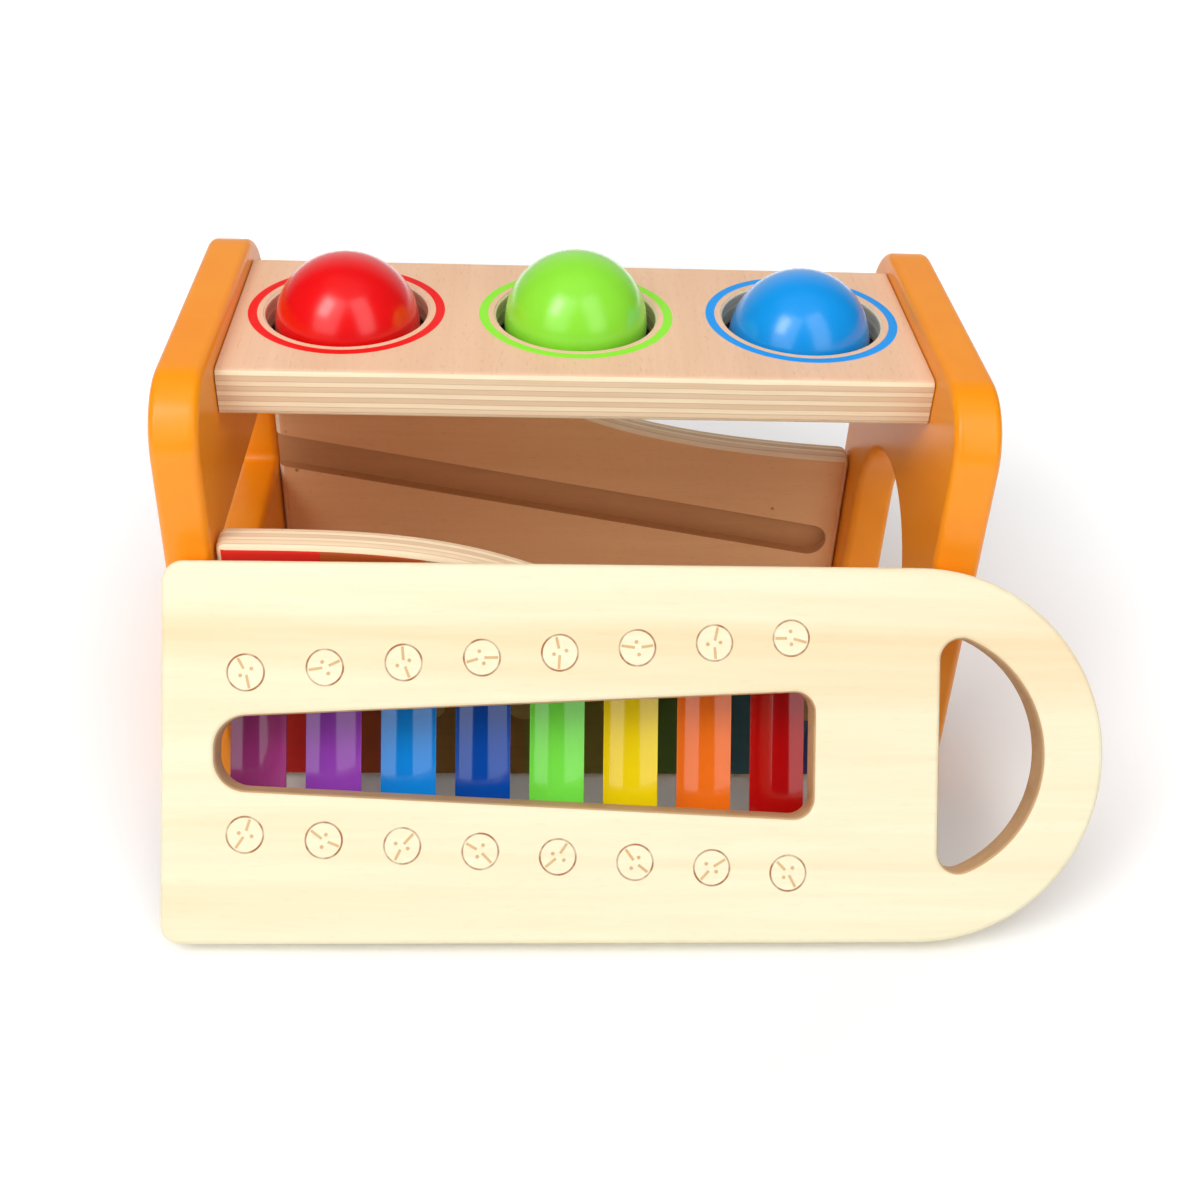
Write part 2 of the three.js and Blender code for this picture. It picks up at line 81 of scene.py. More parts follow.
# %% [markdown]
# ## The camera
#
# The picture was taken from a little left of the middle, from above, and the camera was held slightly
# askew. Its place is written from the middle of the bench, and its three angles are turned into the
# axes of a Blender camera, which looks along its own -Z with +Y upwards. The lens follows from the
# focal length in pixels of a 1200 pixel wide picture.

# %% Camera
CAMERA_PLACE = Vector((-16.9, -421.5, 339.4)) * MM
CAMERA_YAW, CAMERA_PITCH, CAMERA_ROLL = (math.radians(a) for a in (3.84, 36.35, -2.83))
PICTURE_SIZE = 1200
FOCAL_PIXELS = 1493.1

ahead = Vector((math.sin(CAMERA_YAW) * math.cos(CAMERA_PITCH),
                math.cos(CAMERA_YAW) * math.cos(CAMERA_PITCH), -math.sin(CAMERA_PITCH)))
level = Vector((math.cos(CAMERA_YAW), -math.sin(CAMERA_YAW), 0))
down = ahead.cross(level)
right = level * math.cos(CAMERA_ROLL) + down * math.sin(CAMERA_ROLL)
below = down * math.cos(CAMERA_ROLL) - level * math.sin(CAMERA_ROLL)
place = bench_middle + CAMERA_PLACE
axes = Matrix((right, -below, -ahead)).transposed()

lens_data = bpy.data.cameras.new("camera")
lens_data.sensor_width = 36
lens_data.lens = FOCAL_PIXELS / PICTURE_SIZE * lens_data.sensor_width
lens_data.clip_start, lens_data.clip_end = 0.01, 20
camera = bpy.data.objects.new("camera", lens_data)
camera.matrix_world = Matrix.Translation(place) @ axes.to_4x4()
bpy.context.scene.collection.objects.link(camera)
bpy.context.scene.camera = camera
print(f"lens {lens_data.lens:.2f} mm, {place.length:.2f} m from the origin")

# %% [markdown]
# ## Nodes in code
#
# A material is a small net of nodes. One helper adds a node, sets its options and fills its sockets,
# with a plain value or with the output of another node. A second one starts a shared effect: a node
# group with named inputs and outputs, which each material can place with values of its own.

# %% Node helpers
def put(tree, kind, sockets=None, **options):
    made = tree.nodes.new(kind)
    for name, value in options.items():
        setattr(made, name, value)
    for socket, value in (sockets or {}).items():
        if isinstance(value, bpy.types.NodeSocket):
            tree.links.new(value, made.inputs[socket])
        else:
            made.inputs[socket].default_value = value
    return made


def maths(tree, operation, first, second=0.0, third=0.0):
    return put(tree, "ShaderNodeMath", {0: first, 1: second, 2: third}, operation=operation).outputs[0]


def vectors(tree, operation, first, second=(0, 0, 0)):
    return put(tree, "ShaderNodeVectorMath", {0: first, 1: second}, operation=operation).outputs


def parts_of(tree, vector):
    return put(tree, "ShaderNodeSeparateXYZ", {0: vector}).outputs


def noise(tree, vector, scale, detail, **more):
    sockets = {"Vector": vector, "Scale": scale, "Detail": detail, **more}
    return put(tree, "ShaderNodeTexNoise", sockets).outputs[0]


def mixed(tree, factor, first, second):
    sockets = {0: factor, 6: first, 7: second}
    return put(tree, "ShaderNodeMix", sockets, data_type="RGBA").outputs[2]


def tinted(tree, colour, other, mask, amount):
    return mixed(tree, maths(tree, "MULTIPLY", mask, amount), colour, other)


def spread(tree, value, low, high, to_low=0.0, to_high=1.0):
    sockets = {0: value, 1: low, 2: high, 3: to_low, 4: to_high}
    return put(tree, "ShaderNodeMapRange", sockets).outputs[0]


def new_group(name, inputs, outputs):
    group = bpy.data.node_groups.new(name, "ShaderNodeTree")
    for label, value in inputs.items():
        kind = "NodeSocketVector" if value is None else "NodeSocketFloat"
        socket = group.interface.new_socket(label, in_out="INPUT", socket_type=kind)
        if value is not None:
            socket.default_value = value
    for label in outputs:
        group.interface.new_socket(label, in_out="OUTPUT", socket_type="NodeSocketFloat")
    return group, group.nodes.new("NodeGroupInput").outputs, group.nodes.new("NodeGroupOutput").inputs


def give(group, result, values):
    for label, value in values.items():
        group.links.new(value, result[label])
    print("made the group", group.name)


def place_group(tree, group, sockets):
    return put(tree, "ShaderNodeGroup", sockets, node_tree=group).outputs


def start_material(name):
    material = bpy.data.materials.new(name)
    material.use_nodes = True
    return material, material.node_tree, material.node_tree.nodes["Principled BSDF"]


def object_place(tree, turn=(0, 0, 0), shift=(0, 0, 0)):
    place_node = put(tree, "ShaderNodeTexCoord").outputs["Object"]
    sockets = {"Vector": place_node, "Rotation": turn, "Location": shift}
    return put(tree, "ShaderNodeMapping", sockets).outputs[0]


def feed(tree, shader, socket, value):
    tree.links.new(value, shader.inputs[socket])


def fix(shader, values):
    for socket, value in values.items():
        shader.inputs[socket].default_value = value


def bump(tree, shader, height, strength, distance):
    sockets = {"Strength": strength, "Distance": distance, "Height": height}
    feed(tree, shader, "Normal", put(tree, "ShaderNodeBump", sockets).outputs[0])


# %% [markdown]
# ## Shared effects
#
# Four effects come back on several pieces. **Wood grain** is made of noise that is stretched along the
# grain: broad bands of tone, narrow growth lines and short pores. **Plies** are the light and dark
# layers on the edge of plywood, found from how deep a point lies in the board. A **painted band** is a
# ring between two radii. A **brushed coat** is the uneven film that paint or lacquer leaves, and what
# has nothing but such a film is made by one function.

# %% Wood grain
BAND_SCALE, PORE_SCALE, PORE_STRETCH = 0.16, 4.0, 5.0

wood_grain, given, result = new_group(
    "wood_grain", {"Vector": None, "Lines": 300.0, "Stretch": 14.0, "Drift": 0.35},
    ["Tone", "Lines", "Pores"])
parts = parts_of(wood_grain, given["Vector"])
along = maths(wood_grain, "DIVIDE", parts[0], given["Stretch"])
stretched = put(wood_grain, "ShaderNodeCombineXYZ", {0: along, 1: parts[1], 2: parts[2]}).outputs[0]
broad = noise(wood_grain, stretched, maths(wood_grain, "MULTIPLY", given["Lines"], BAND_SCALE), 3.0,
              Roughness=0.55, Distortion=given["Drift"])
narrow = noise(wood_grain, stretched, given["Lines"], 4.0, Roughness=0.6, Distortion=given["Drift"])
short = maths(wood_grain, "DIVIDE", parts[0], PORE_STRETCH)
dashes = put(wood_grain, "ShaderNodeCombineXYZ", {0: short, 1: parts[1], 2: parts[2]}).outputs[0]
pores = noise(wood_grain, dashes, maths(wood_grain, "MULTIPLY", given["Lines"], PORE_SCALE), 1.0)
give(wood_grain, result, {
    "Tone": spread(wood_grain, broad, 0.3, 0.7), "Lines": spread(wood_grain, narrow, 0.35, 0.68),
    "Pores": spread(wood_grain, pores, 0.62, 0.74)})

# %% Plies
ply_layers, given, result = new_group(
    "ply_layers", {"Depth": 0.0, "Thickness": 0.015, "Layers": 9.0, "Wander": 0.0},
    ["Dark layer", "Glue line"])
share = maths(ply_layers, "DIVIDE", given["Depth"], given["Thickness"])
layer = maths(ply_layers, "MULTIPLY", maths(ply_layers, "ADD", share, given["Wander"]), given["Layers"])
swing = maths(ply_layers, "PINGPONG", maths(ply_layers, "SUBTRACT", layer, 0.5), 1.0)
within = maths(ply_layers, "FRACT", layer)
from_line = maths(ply_layers, "MINIMUM", within, maths(ply_layers, "SUBTRACT", 1.0, within))
own = put(ply_layers, "ShaderNodeTexWhiteNoise", {"W": maths(ply_layers, "FLOOR", layer)},
          noise_dimensions="1D").outputs["Value"]
stripe = spread(ply_layers, swing, 0.38, 0.62)
dark = maths(ply_layers, "MULTIPLY", stripe, spread(ply_layers, own, 0.0, 1.0, 0.4, 1.0))
glue = spread(ply_layers, from_line, 0.03, 0.12, 1.0, 0.0)
give(ply_layers, result, {"Dark layer": dark, "Glue line": glue})

# %% Painted band
SOFT_EDGE = 0.15 * MM

painted_band, given, result = new_group(
    "painted_band", {"Vector": None, "Centre": None, "Inner": 0.027, "Outer": 0.03}, ["Mask"])
away = vectors(painted_band, "SUBTRACT", given["Vector"], given["Centre"])[0]
flat = vectors(painted_band, "MULTIPLY", away, (1, 1, 0))[0]
radius = vectors(painted_band, "LENGTH", flat)["Value"]
full_from = maths(painted_band, "ADD", given["Inner"], SOFT_EDGE)
full_to = maths(painted_band, "SUBTRACT", given["Outer"], SOFT_EDGE)
inside = spread(painted_band, radius, given["Inner"], full_from)
outside = spread(painted_band, radius, full_to, given["Outer"], 1.0, 0.0)
give(painted_band, result, {"Mask": maths(painted_band, "MULTIPLY", inside, outside)})

# %% Brushed coat
PEEL_SCALE = 9.0

brushed_coat, given, result = new_group(
    "brushed_coat", {"Vector": None, "Scale": 60.0, "Smooth": 0.25, "Dull": 0.45},
    ["Tone", "Roughness", "Height"])
clouds = noise(brushed_coat, given["Vector"], given["Scale"], 2.0)
peel_scale = maths(brushed_coat, "MULTIPLY", given["Scale"], PEEL_SCALE)
peel = noise(brushed_coat, given["Vector"], peel_scale, 2.0)
rough = spread(brushed_coat, clouds, 0.05, 0.95, given["Smooth"], given["Dull"])
give(brushed_coat, result, {
    "Tone": spread(brushed_coat, clouds, 0.05, 0.95), "Roughness": rough, "Height": peel})


def coat_film(tree, scale, smooth, dull, turn=(0, 0, 0)):
    return place_group(tree, brushed_coat, {
        "Vector": object_place(tree, turn), "Scale": scale, "Smooth": smooth, "Dull": dull})


def coated(name, colour, other, sheen, bumps, turn=(0, 0, 0)):
    material, tree, shader = start_material(name)
    film = coat_film(tree, *sheen, turn)
    feed(tree, shader, "Base Color", mixed(tree, film["Tone"], colour, other))
    feed(tree, shader, "Roughness", film["Roughness"])
    bump(tree, shader, film["Height"], *bumps)
    return material, shader


def deeper(colour, share):
    return tuple(share * v for v in colour[:3]) + (1,)


# %% [markdown]
# ## Modelling helpers
#
# Operators act on whatever is selected, so every helper first clears the selection and takes one piece
# in hand. Faces and edges are then picked by their place or direction, as one would click on them.
# A cutter is a plain solid that is taken out of a piece with a Boolean modifier and then thrown away.
# Every piece is last measured against the solid that it stands for.

# %% Modelling helpers
MERGE = 0.03 * MM


def take(piece):
    if bpy.context.mode != "OBJECT":
        bpy.ops.object.mode_set(mode="OBJECT")
    bpy.ops.object.select_all(action="DESELECT")
    if piece:
        piece.select_set(True)
    bpy.context.view_layer.objects.active = piece


def keep_as(name):
    piece = bpy.context.object
    piece.name = piece.data.name = name
    bpy.ops.object.transform_apply(location=True, rotation=True, scale=True)
    return piece


def block(name, low, high):
    take(None)
    middle = [(a + b) / 2 for a, b in zip(low, high)]
    bpy.ops.mesh.primitive_cube_add(size=1, location=middle, scale=[b - a for a, b in zip(low, high)])
    return keep_as(name)


def pick(piece, kind, test):
    take(piece)
    bpy.ops.object.mode_set(mode="EDIT")
    bpy.ops.mesh.select_mode(type=kind)
    bpy.ops.mesh.select_all(action="DESELECT")
    mesh = bmesh.from_edit_mesh(piece.data)
    for item in {"VERT": mesh.verts, "EDGE": mesh.edges, "FACE": mesh.faces}[kind]:
        if test(item):
            item.select_set(True)
    mesh.select_flush_mode()
    bmesh.update_edit_mesh(piece.data)


def edit_all(piece):
    take(piece)
    bpy.ops.object.mode_set(mode="EDIT")
    bpy.ops.mesh.select_all(action="SELECT")


def face_outwards():
    bpy.ops.mesh.select_all(action="SELECT")
    bpy.ops.mesh.normals_make_consistent(inside=False)
    bpy.ops.object.mode_set(mode="OBJECT")


def done():
    bpy.ops.object.mode_set(mode="OBJECT")


def runs_along(edge, axis):
    line = edge.verts[1].co - edge.verts[0].co
    return abs(line[axis]) > 0.98 * line.length


def middle_of(edge):
    return (edge.verts[0].co + edge.verts[1].co) / 2


def round_edges(piece, test, radius, steps):
    pick(piece, "EDGE", test)
    bpy.ops.mesh.bevel(offset=radius, segments=steps, affect="EDGES", clamp_overlap=False)
    bpy.ops.mesh.select_all(action="SELECT")
    bpy.ops.mesh.remove_doubles(threshold=MERGE)
    done()


def apply(piece, kind, **options):
    take(piece)
    modifier = piece.modifiers.new(kind.lower(), kind)
    for name, value in options.items():
        setattr(modifier, name, value)
    bpy.ops.object.modifier_apply(modifier=modifier.name)


def carve(piece, cutter):
    apply(piece, "BOOLEAN", operation="DIFFERENCE", solver="EXACT", object=cutter)
    bpy.data.objects.remove(cutter)


def drill(piece, radius, spot, low, high, sides):
    take(None)
    bpy.ops.mesh.primitive_cylinder_add(vertices=sides, radius=radius * MM, depth=(high - low) * MM,
                                        location=Vector((*spot, (low + high) / 2)) * MM)
    carve(piece, keep_as("drill"))


def split(piece, place, normal, **options):
    pick(piece, "FACE", lambda f: True)
    bpy.ops.mesh.bisect(plane_co=place, plane_no=normal, **options)
    done()


def ease(piece, width, steps, angle=50):
    apply(piece, "BEVEL", width=width, segments=steps, limit_method="ANGLE",
          angle_limit=math.radians(angle), use_clamp_overlap=False)


def smooth(piece, angle=38):
    take(piece)
    bpy.ops.object.shade_smooth_by_angle(angle=math.radians(angle))
    apply(piece, "WEIGHTED_NORMAL", keep_sharp=True, weight=80)


def coat(piece, materials, choose=None):
    piece.data.materials.clear()
    for material in materials:
        piece.data.materials.append(material)
    for face in piece.data.polygons:
        face.material_index = choose(face) if choose else 0


def stand_for(piece, node):
    body = frame["nodes"][node]["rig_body"]
    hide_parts(node)
    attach(piece, body)
    low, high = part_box(node)
    points = [v.co for v in piece.data.vertices]
    ends = (min, low), (max, high)
    off = max(abs(end(p[a] for p in points) - edge[a]) for end, edge in ends for a in range(3))
    print(f"{piece.name} stands for {node}: {len(points)} points, box within {off / MM:.2f} mm")


# %% [markdown]
# ## The orange finish
#
# The side panels are wood under a satin orange paint. It is a little uneven, as brushed or rolled paint
# is, slightly paler where the film is thick, and it keeps a soft sheen on the rounded edges.

# %% Orange paint
ORANGE, ORANGE_PALER, ORANGE_STREAK = (0.96, 0.265, 0.0015, 1), (1.0, 0.35, 0.003, 1), (0.99, 0.37, 0.02, 1)

orange_paint, tree, shader = start_material("satin_orange_paint")
film = coat_film(tree, 45.0, 0.26, 0.32)
streak = place_group(tree, wood_grain, {
    "Vector": object_place(tree, turn=(0, math.radians(90), 0)), "Lines": 420.0, "Stretch": 26.0})
colour = mixed(tree, film["Tone"], ORANGE, ORANGE_PALER)
feed(tree, shader, "Base Color", tinted(tree, colour, ORANGE_STREAK, streak["Lines"], 0.08))
feed(tree, shader, "Roughness", film["Roughness"])
bump(tree, shader, film["Height"], 0.012, 0.2 * MM)
fix(shader, {"Specular IOR Level": 0.42})
print("made", orange_paint.name)

# %% [markdown]
# ## The side panels
#
# A side panel could be traced as a curve, but it starts here as a block, as on a bench saw: the top is
# drawn in a little, the two upper corners are rounded with a wide bevel, and the opening is cut out.
# A line across the middle of the slot keeps its two faces from having a hole, which bevels cleanly.
# The left panel has the slot that the key board slides in through, the right one the arch that the
# balls roll out through. Last, a Bevel modifier rounds over every edge, as a router would.

# %% Side panels
SHOULDER_HALF_AT_TOP = 62.37 * MM
SHOULDER_RADIUS = 20 * MM
SIDE_EASE = 2.5 * MM
SLOT_HALF, SLOT_LOW, SLOT_HIGH, SLOT_CORNER = (v * MM for v in (55.2, 50.69, 84.69, 3))
ARCH_HALF, ARCH_TOP = 37 * MM, 84.5 * MM
PAST = 10 * MM
SHY = 0.01 * MM  # a bevel over a whole side stops just short of it


def side_blank(name, node):
    low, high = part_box(node)
    panel = block(name, low, high)
    pick(panel, "VERT", lambda v: v.co.z > high.z / 2)
    taper = SHOULDER_HALF_AT_TOP / ((high.y - low.y) / 2)
    bpy.ops.transform.resize(value=(1, taper, 1))
    done()
    round_edges(panel, lambda e: runs_along(e, 0) and middle_of(e).z > high.z / 2, SHOULDER_RADIUS, 14)
    return panel, low, high


slotted_side, low, high = side_blank("slotted_side", "left_side_panel")
split(slotted_side, (0, 0, (SLOT_LOW + SLOT_HIGH) / 2), (0, 0, 1))
cutter = block("slot_cutter", (low.x - PAST, bench_middle.y - SLOT_HALF, SLOT_LOW),
               (high.x + PAST, bench_middle.y + SLOT_HALF, SLOT_HIGH))
round_edges(cutter, lambda e: runs_along(e, 0), SLOT_CORNER, 5)
carve(slotted_side, cutter)

arched_side, low, high = side_blank("arched_side", "right_side_panel")
cutter = block("arch_cutter", (low.x - PAST, bench_middle.y - ARCH_HALF, -PAST),
               (high.x + PAST, bench_middle.y + ARCH_HALF, ARCH_TOP))
round_edges(cutter, lambda e: runs_along(e, 0) and middle_of(e).z > 0, ARCH_HALF - SHY, 24)
carve(arched_side, cutter)

for panel, node in ((slotted_side, "left_side_panel"), (arched_side, "right_side_panel")):
    ease(panel, SIDE_EASE, 5)
    smooth(panel)
    coat(panel, [orange_paint])
    stand_for(panel, node)

# %% [markdown]
# ## Plywood
#
# The top board and the wavy panels are birch plywood. Its faces are pinkish tan with a faint grain and
# a few pin knots, and its edges show light and dark layers, no two of them equally dark. Faces and edges
# are two materials, chosen by the way a face points, because a layer that is a line on the edge is a
# whole sheet on the face.

# %% Plywood materials
FACE_LIGHT, FACE_DARK = (0.93, 0.61, 0.41, 1), (0.8, 0.475, 0.285, 1)
EDGE_LIGHT, EDGE_DARK, EDGE_GLUE = (0.96, 0.79, 0.56, 1), (0.68, 0.44, 0.26, 1), (0.46, 0.27, 0.14, 1)
# The two inside colours are painted shade: a darker, oranger plywood for the bench's shaded inside, with
# the orange bounce light of the side panels painted in.
INSIDE_SHADE_LIGHT, INSIDE_SHADE_DARK = (0.92, 0.55, 0.28, 1), (0.76, 0.41, 0.185, 1)
PORE, KNOT, KNOT_SCALE = (0.42, 0.22, 0.11, 1), (0.2, 0.1, 0.05, 1), 60.0
GRAIN_ALONG_Y = (0, 0, math.radians(-90))
FACE_ON = 0.85  # a normal with this much of an axis belongs to a face, not to an edge


def plywood_colour(tree, turn, light=FACE_LIGHT, dark=FACE_DARK):
    place = object_place(tree, turn)
    grain = place_group(tree, wood_grain, {"Vector": place, "Lines": 330.0, "Stretch": 16.0, "Drift": 0.8})
    colour = tinted(tree, light, dark, grain["Tone"], 0.45)
    colour = tinted(tree, colour, dark, grain["Lines"], 0.22)
    return tinted(tree, colour, PORE, grain["Pores"], 0.16), grain


def finish_wood(tree, shader, colour, grain, roughness):
    feed(tree, shader, "Base Color", colour)
    feed(tree, shader, "Roughness", spread(tree, grain["Lines"], 0.0, 1.0, *roughness))
    bump(tree, shader, maths(tree, "SUBTRACT", grain["Lines"], grain["Pores"]), 0.12, 0.15 * MM)
    fix(shader, {"Specular IOR Level": 0.25})


def plywood_face(name, turn, light=FACE_LIGHT, dark=FACE_DARK):
    material, tree, shader = start_material(name)
    colour, grain = plywood_colour(tree, turn, light, dark)
    cells = put(tree, "ShaderNodeTexVoronoi", {"Vector": object_place(tree), "Scale": KNOT_SCALE})
    knots = spread(tree, cells.outputs["Distance"], 0.02, 0.055, 0.7, 0.0)
    colour = mixed(tree, knots, colour, KNOT)
    finish_wood(tree, shader, colour, grain, (0.5, 0.62))
    return material


def plywood_edge(name, axis, start, thickness, layers):
    material, tree, shader = start_material(name)
    place = object_place(tree)
    grain = place_group(tree, wood_grain, {"Vector": place, "Lines": 900.0, "Stretch": 22.0})
    depth = maths(tree, "SUBTRACT", parts_of(tree, place)[axis], start)
    slow = noise(tree, place, 18.0, 1.0)
    plies = place_group(tree, ply_layers, {
        "Depth": depth, "Thickness": thickness, "Layers": layers,
        "Wander": spread(tree, slow, 0.3, 0.7, -0.012, 0.012)})
    dark = maths(tree, "MULTIPLY", plies["Dark layer"], spread(tree, grain["Tone"], 0.0, 1.0, 0.5, 0.95))
    colour = mixed(tree, dark, EDGE_LIGHT, EDGE_DARK)
    colour = tinted(tree, colour, EDGE_GLUE, plies["Glue line"], 0.5)
    colour = tinted(tree, colour, EDGE_DARK, grain["Lines"], 0.2)
    finish_wood(tree, shader, colour, grain, (0.55, 0.7))
    return material


bench_face = plywood_face("birch_face_crosswise", GRAIN_ALONG_Y)
print("made", bench_face.name)

# %% [markdown]
# ## The top board
#
# A block again, with its long edges rounded over. The three holes are turned cutters with a groove in
# the wall for the rubber ring. Round each hole a thin ring is painted in the colour of its ball; it lies
# in the board's material, as paint does, between two radii about the middle of the hole.

# %% Turning helpers
def draw_profile(name, points):
    take(None)
    bpy.ops.mesh.primitive_plane_add(size=MM)
    piece = keep_as(name)
    bpy.ops.object.mode_set(mode="EDIT")
    bpy.ops.mesh.select_mode(type="VERT")
    bpy.ops.mesh.select_all(action="SELECT")
    bpy.ops.mesh.merge(type="CENTER")
    bpy.ops.transform.translate(value=points[0])
    for start, end in zip(points, points[1:]):
        bpy.ops.mesh.extrude_vertices_move(TRANSFORM_OT_translate={"value": Vector(end) - Vector(start)})
    done()
    return piece


def turn_about(piece, steps, axis=(0, 0, 1), centre=(0, 0, 0), angle=2 * math.pi):
    edit_all(piece)
    bpy.ops.mesh.spin(steps=steps, angle=angle, center=centre, axis=axis)
    bpy.ops.mesh.select_all(action="SELECT")
    bpy.ops.mesh.remove_doubles(threshold=1e-6)
    face_outwards()


def turned(name, profile, steps):
    piece = draw_profile(name, [Vector((radius, 0, height)) * MM for radius, height in profile])
    turn_about(piece, steps)
    return piece


def copy_at(piece, name, matrix):
    copy = piece.copy()
    copy.data = piece.data.copy()
    copy.name = copy.data.name = name
    bpy.context.scene.collection.objects.link(copy)
    copy.data.transform(matrix)
    return copy


# %% Top board
BALL_COLOURS = {
    "red": (0.93, 0.002, 0.004, 1), "green": (0.31, 0.88, 0.045, 1), "blue": (0.003, 0.34, 0.92, 1)}
BOARD_EASE, BOARD_LAYERS = 2.2 * MM, 9.0
HOLE_RADIUS, RING_SEAT_RADIUS, HOLE_STEPS = 25.1, 27.9, 96
RING_SEAT_LOW, RING_SEAT_HIGH = 1.7, 5.9
RIM_CHAMFER, OVER = 0.6, 5
BAND_INNER, BAND_OUTER, BAND_COVER = 27.4 * MM, 30.4 * MM, 0.985

low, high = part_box("top_board")
board_thickness = high.z - low.z
ball_centres = {c: (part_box("ball_" + c)[0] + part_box("ball_" + c)[1]) / 2 for c in BALL_COLOURS}

bench_top = block("bench_top", low, high)
round_edges(bench_top, lambda e: runs_along(e, 0), BOARD_EASE, 5)
deep = board_thickness / MM
hole_cutter = turned("hole_cutter", [
    (0, -2 * OVER), (HOLE_RADIUS, -2 * OVER), (HOLE_RADIUS, RING_SEAT_LOW),
    (RING_SEAT_RADIUS, RING_SEAT_LOW), (RING_SEAT_RADIUS, RING_SEAT_HIGH), (HOLE_RADIUS, RING_SEAT_HIGH),
    (HOLE_RADIUS, deep - RIM_CHAMFER), (HOLE_RADIUS + RIM_CHAMFER + OVER, deep + OVER), (0, deep + OVER),
], HOLE_STEPS)
for name, centre in ball_centres.items():
    middle = Matrix.Translation((centre.x, centre.y, low.z))
    carve(bench_top, copy_at(hole_cutter, "hole_" + name, middle))
bpy.data.objects.remove(hole_cutter)
smooth(bench_top)

ringed_face, tree, shader = start_material("birch_face_with_painted_rings")
colour, grain = plywood_colour(tree, GRAIN_ALONG_Y)
place = object_place(tree)
for name, centre in ball_centres.items():
    band = place_group(tree, painted_band, {
        "Vector": place, "Centre": tuple(centre), "Inner": BAND_INNER, "Outer": BAND_OUTER})
    colour = tinted(tree, colour, BALL_COLOURS[name], band["Mask"], BAND_COVER)
finish_wood(tree, shader, colour, grain, (0.46, 0.58))

board_edge = plywood_edge("birch_edge_of_top_board", 2, low.z, board_thickness, BOARD_LAYERS)
coat(bench_top, [ringed_face, board_edge, bench_face],
     lambda f: 0 if f.normal.z > FACE_ON else 2 if f.normal.z < -FACE_ON else 1)
stand_for(bench_top, "top_board")

# %% [markdown]
# ## The wavy panels
#
# Front and back panel share one outline, whose top runs down in a wave from left to right. The outline
# is drawn point by point with extruded vertices, filled with one face and extruded to its thickness.
# After the edges are rounded over, a slanted groove is cut in the inner face: the key board's edges
# slide in it. The front panel is printed, here with plain blocks of colour and a row of dots.

# %% Wavy panels
WAVE_HALF, WAVE_PLATEAU, WAVE_HIGH, WAVE_LOW = 105.3, 15.6, 92.6, 57.0
WAVE_HIGH_REACH, WAVE_LOW_REACH, WAVE_LOW_SLOPE = 98.0, 130.0, 0.06
PANEL_FLOOR_GAP, PANEL_THICKNESS, PANEL_EASE, PANEL_LAYERS = 1.5, 11.0, 3 * MM, 7.0
GROOVE_SLOPE = math.radians(10.4)
GROOVE_START, GROOVE_END, GROOVE_CUT = 105.6, 94.0, 230
GROOVE_ENTRY, GROOVE_HEIGHT, GROOVE_DEPTH = 57.4, 13.2, 4.2
# The groove colours are painted shade: the recess under the groove's upper lip is coloured darker and
# browner than the panel's face.
GROOVE_SHADE_LIGHT, GROOVE_SHADE_DARK = (0.66, 0.35, 0.16, 1), (0.54, 0.26, 0.11, 1)

wave_start = WAVE_PLATEAU - WAVE_HALF
wave = geometry.interpolate_bezier(
    Vector((wave_start, 0, WAVE_HIGH)), Vector((wave_start + WAVE_HIGH_REACH, 0, WAVE_HIGH)),
    Vector((WAVE_HALF - WAVE_LOW_REACH, 0, WAVE_LOW + WAVE_LOW_SLOPE * WAVE_LOW_REACH)),
    Vector((WAVE_HALF, 0, WAVE_LOW)), 40)
outline = [Vector((WAVE_HALF, 0, PANEL_FLOOR_GAP)), Vector((-WAVE_HALF, 0, PANEL_FLOOR_GAP)),
           Vector((-WAVE_HALF, 0, WAVE_HIGH)), *wave]


def plate(name, points, depth):
    piece = draw_profile(name, points)
    edit_all(piece)
    bpy.ops.mesh.edge_face_add()
    bpy.ops.mesh.extrude_region_move(TRANSFORM_OT_translate={"value": depth})
    face_outwards()
    return piece


groove_fall = (GROOVE_START + GROOVE_END) * math.tan(GROOVE_SLOPE)
groove_tip = Vector((GROOVE_END, 0, GROOVE_ENTRY - groove_fall)) * MM
groove_normal = Vector((math.sin(GROOVE_SLOPE), 0, math.cos(GROOVE_SLOPE)))


def groove_cutter(inner_y):
    half, deep = GROOVE_HEIGHT / 2 * MM, GROOVE_DEPTH * MM
    cutter = block("groove_cutter", (-GROOVE_CUT * MM, -deep, -half), (half, deep, half))
    round_edges(cutter, lambda e: runs_along(e, 1) and middle_of(e).x > 0, half - SHY, 10)
    cutter.data.transform(Matrix.Translation((bench_middle.x + groove_tip.x, inner_y, groove_tip.z))
                          @ Matrix.Rotation(GROOVE_SLOPE, 4, "Y"))
    return cutter


def wave_panel(name, node, facing):
    low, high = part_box(node)
    inner_y = low.y if facing > 0 else high.y
    panel = plate(name, [point * MM for point in outline], (0, facing * PANEL_THICKNESS * MM, 0))
    panel.data.transform(Matrix.Translation((bench_middle.x, inner_y, 0)))
    ease(panel, PANEL_EASE, 4)
    carve(panel, groove_cutter(inner_y))
    smooth(panel)
    edge = plywood_edge("birch_edge_of_" + name, 1, low.y, PANEL_THICKNESS * MM, PANEL_LAYERS)

    def part(face):
        # 0 is the inner face, 1 the edge, 2 the outer face and 3 the groove, which has painted shade
        across = (face.center - bench_middle - groove_tip).dot(groove_normal)
        sunk = facing * (face.center.y - inner_y)
        if abs(across) < (GROOVE_HEIGHT / 2 + 0.1) * MM and 0.5 * MM < sunk < (GROOVE_DEPTH + 0.1) * MM:
            return 3
        if abs(face.normal.y) < FACE_ON:
            return 1
        return 2 if facing * face.normal.y > 0 else 0

    return panel, edge, part


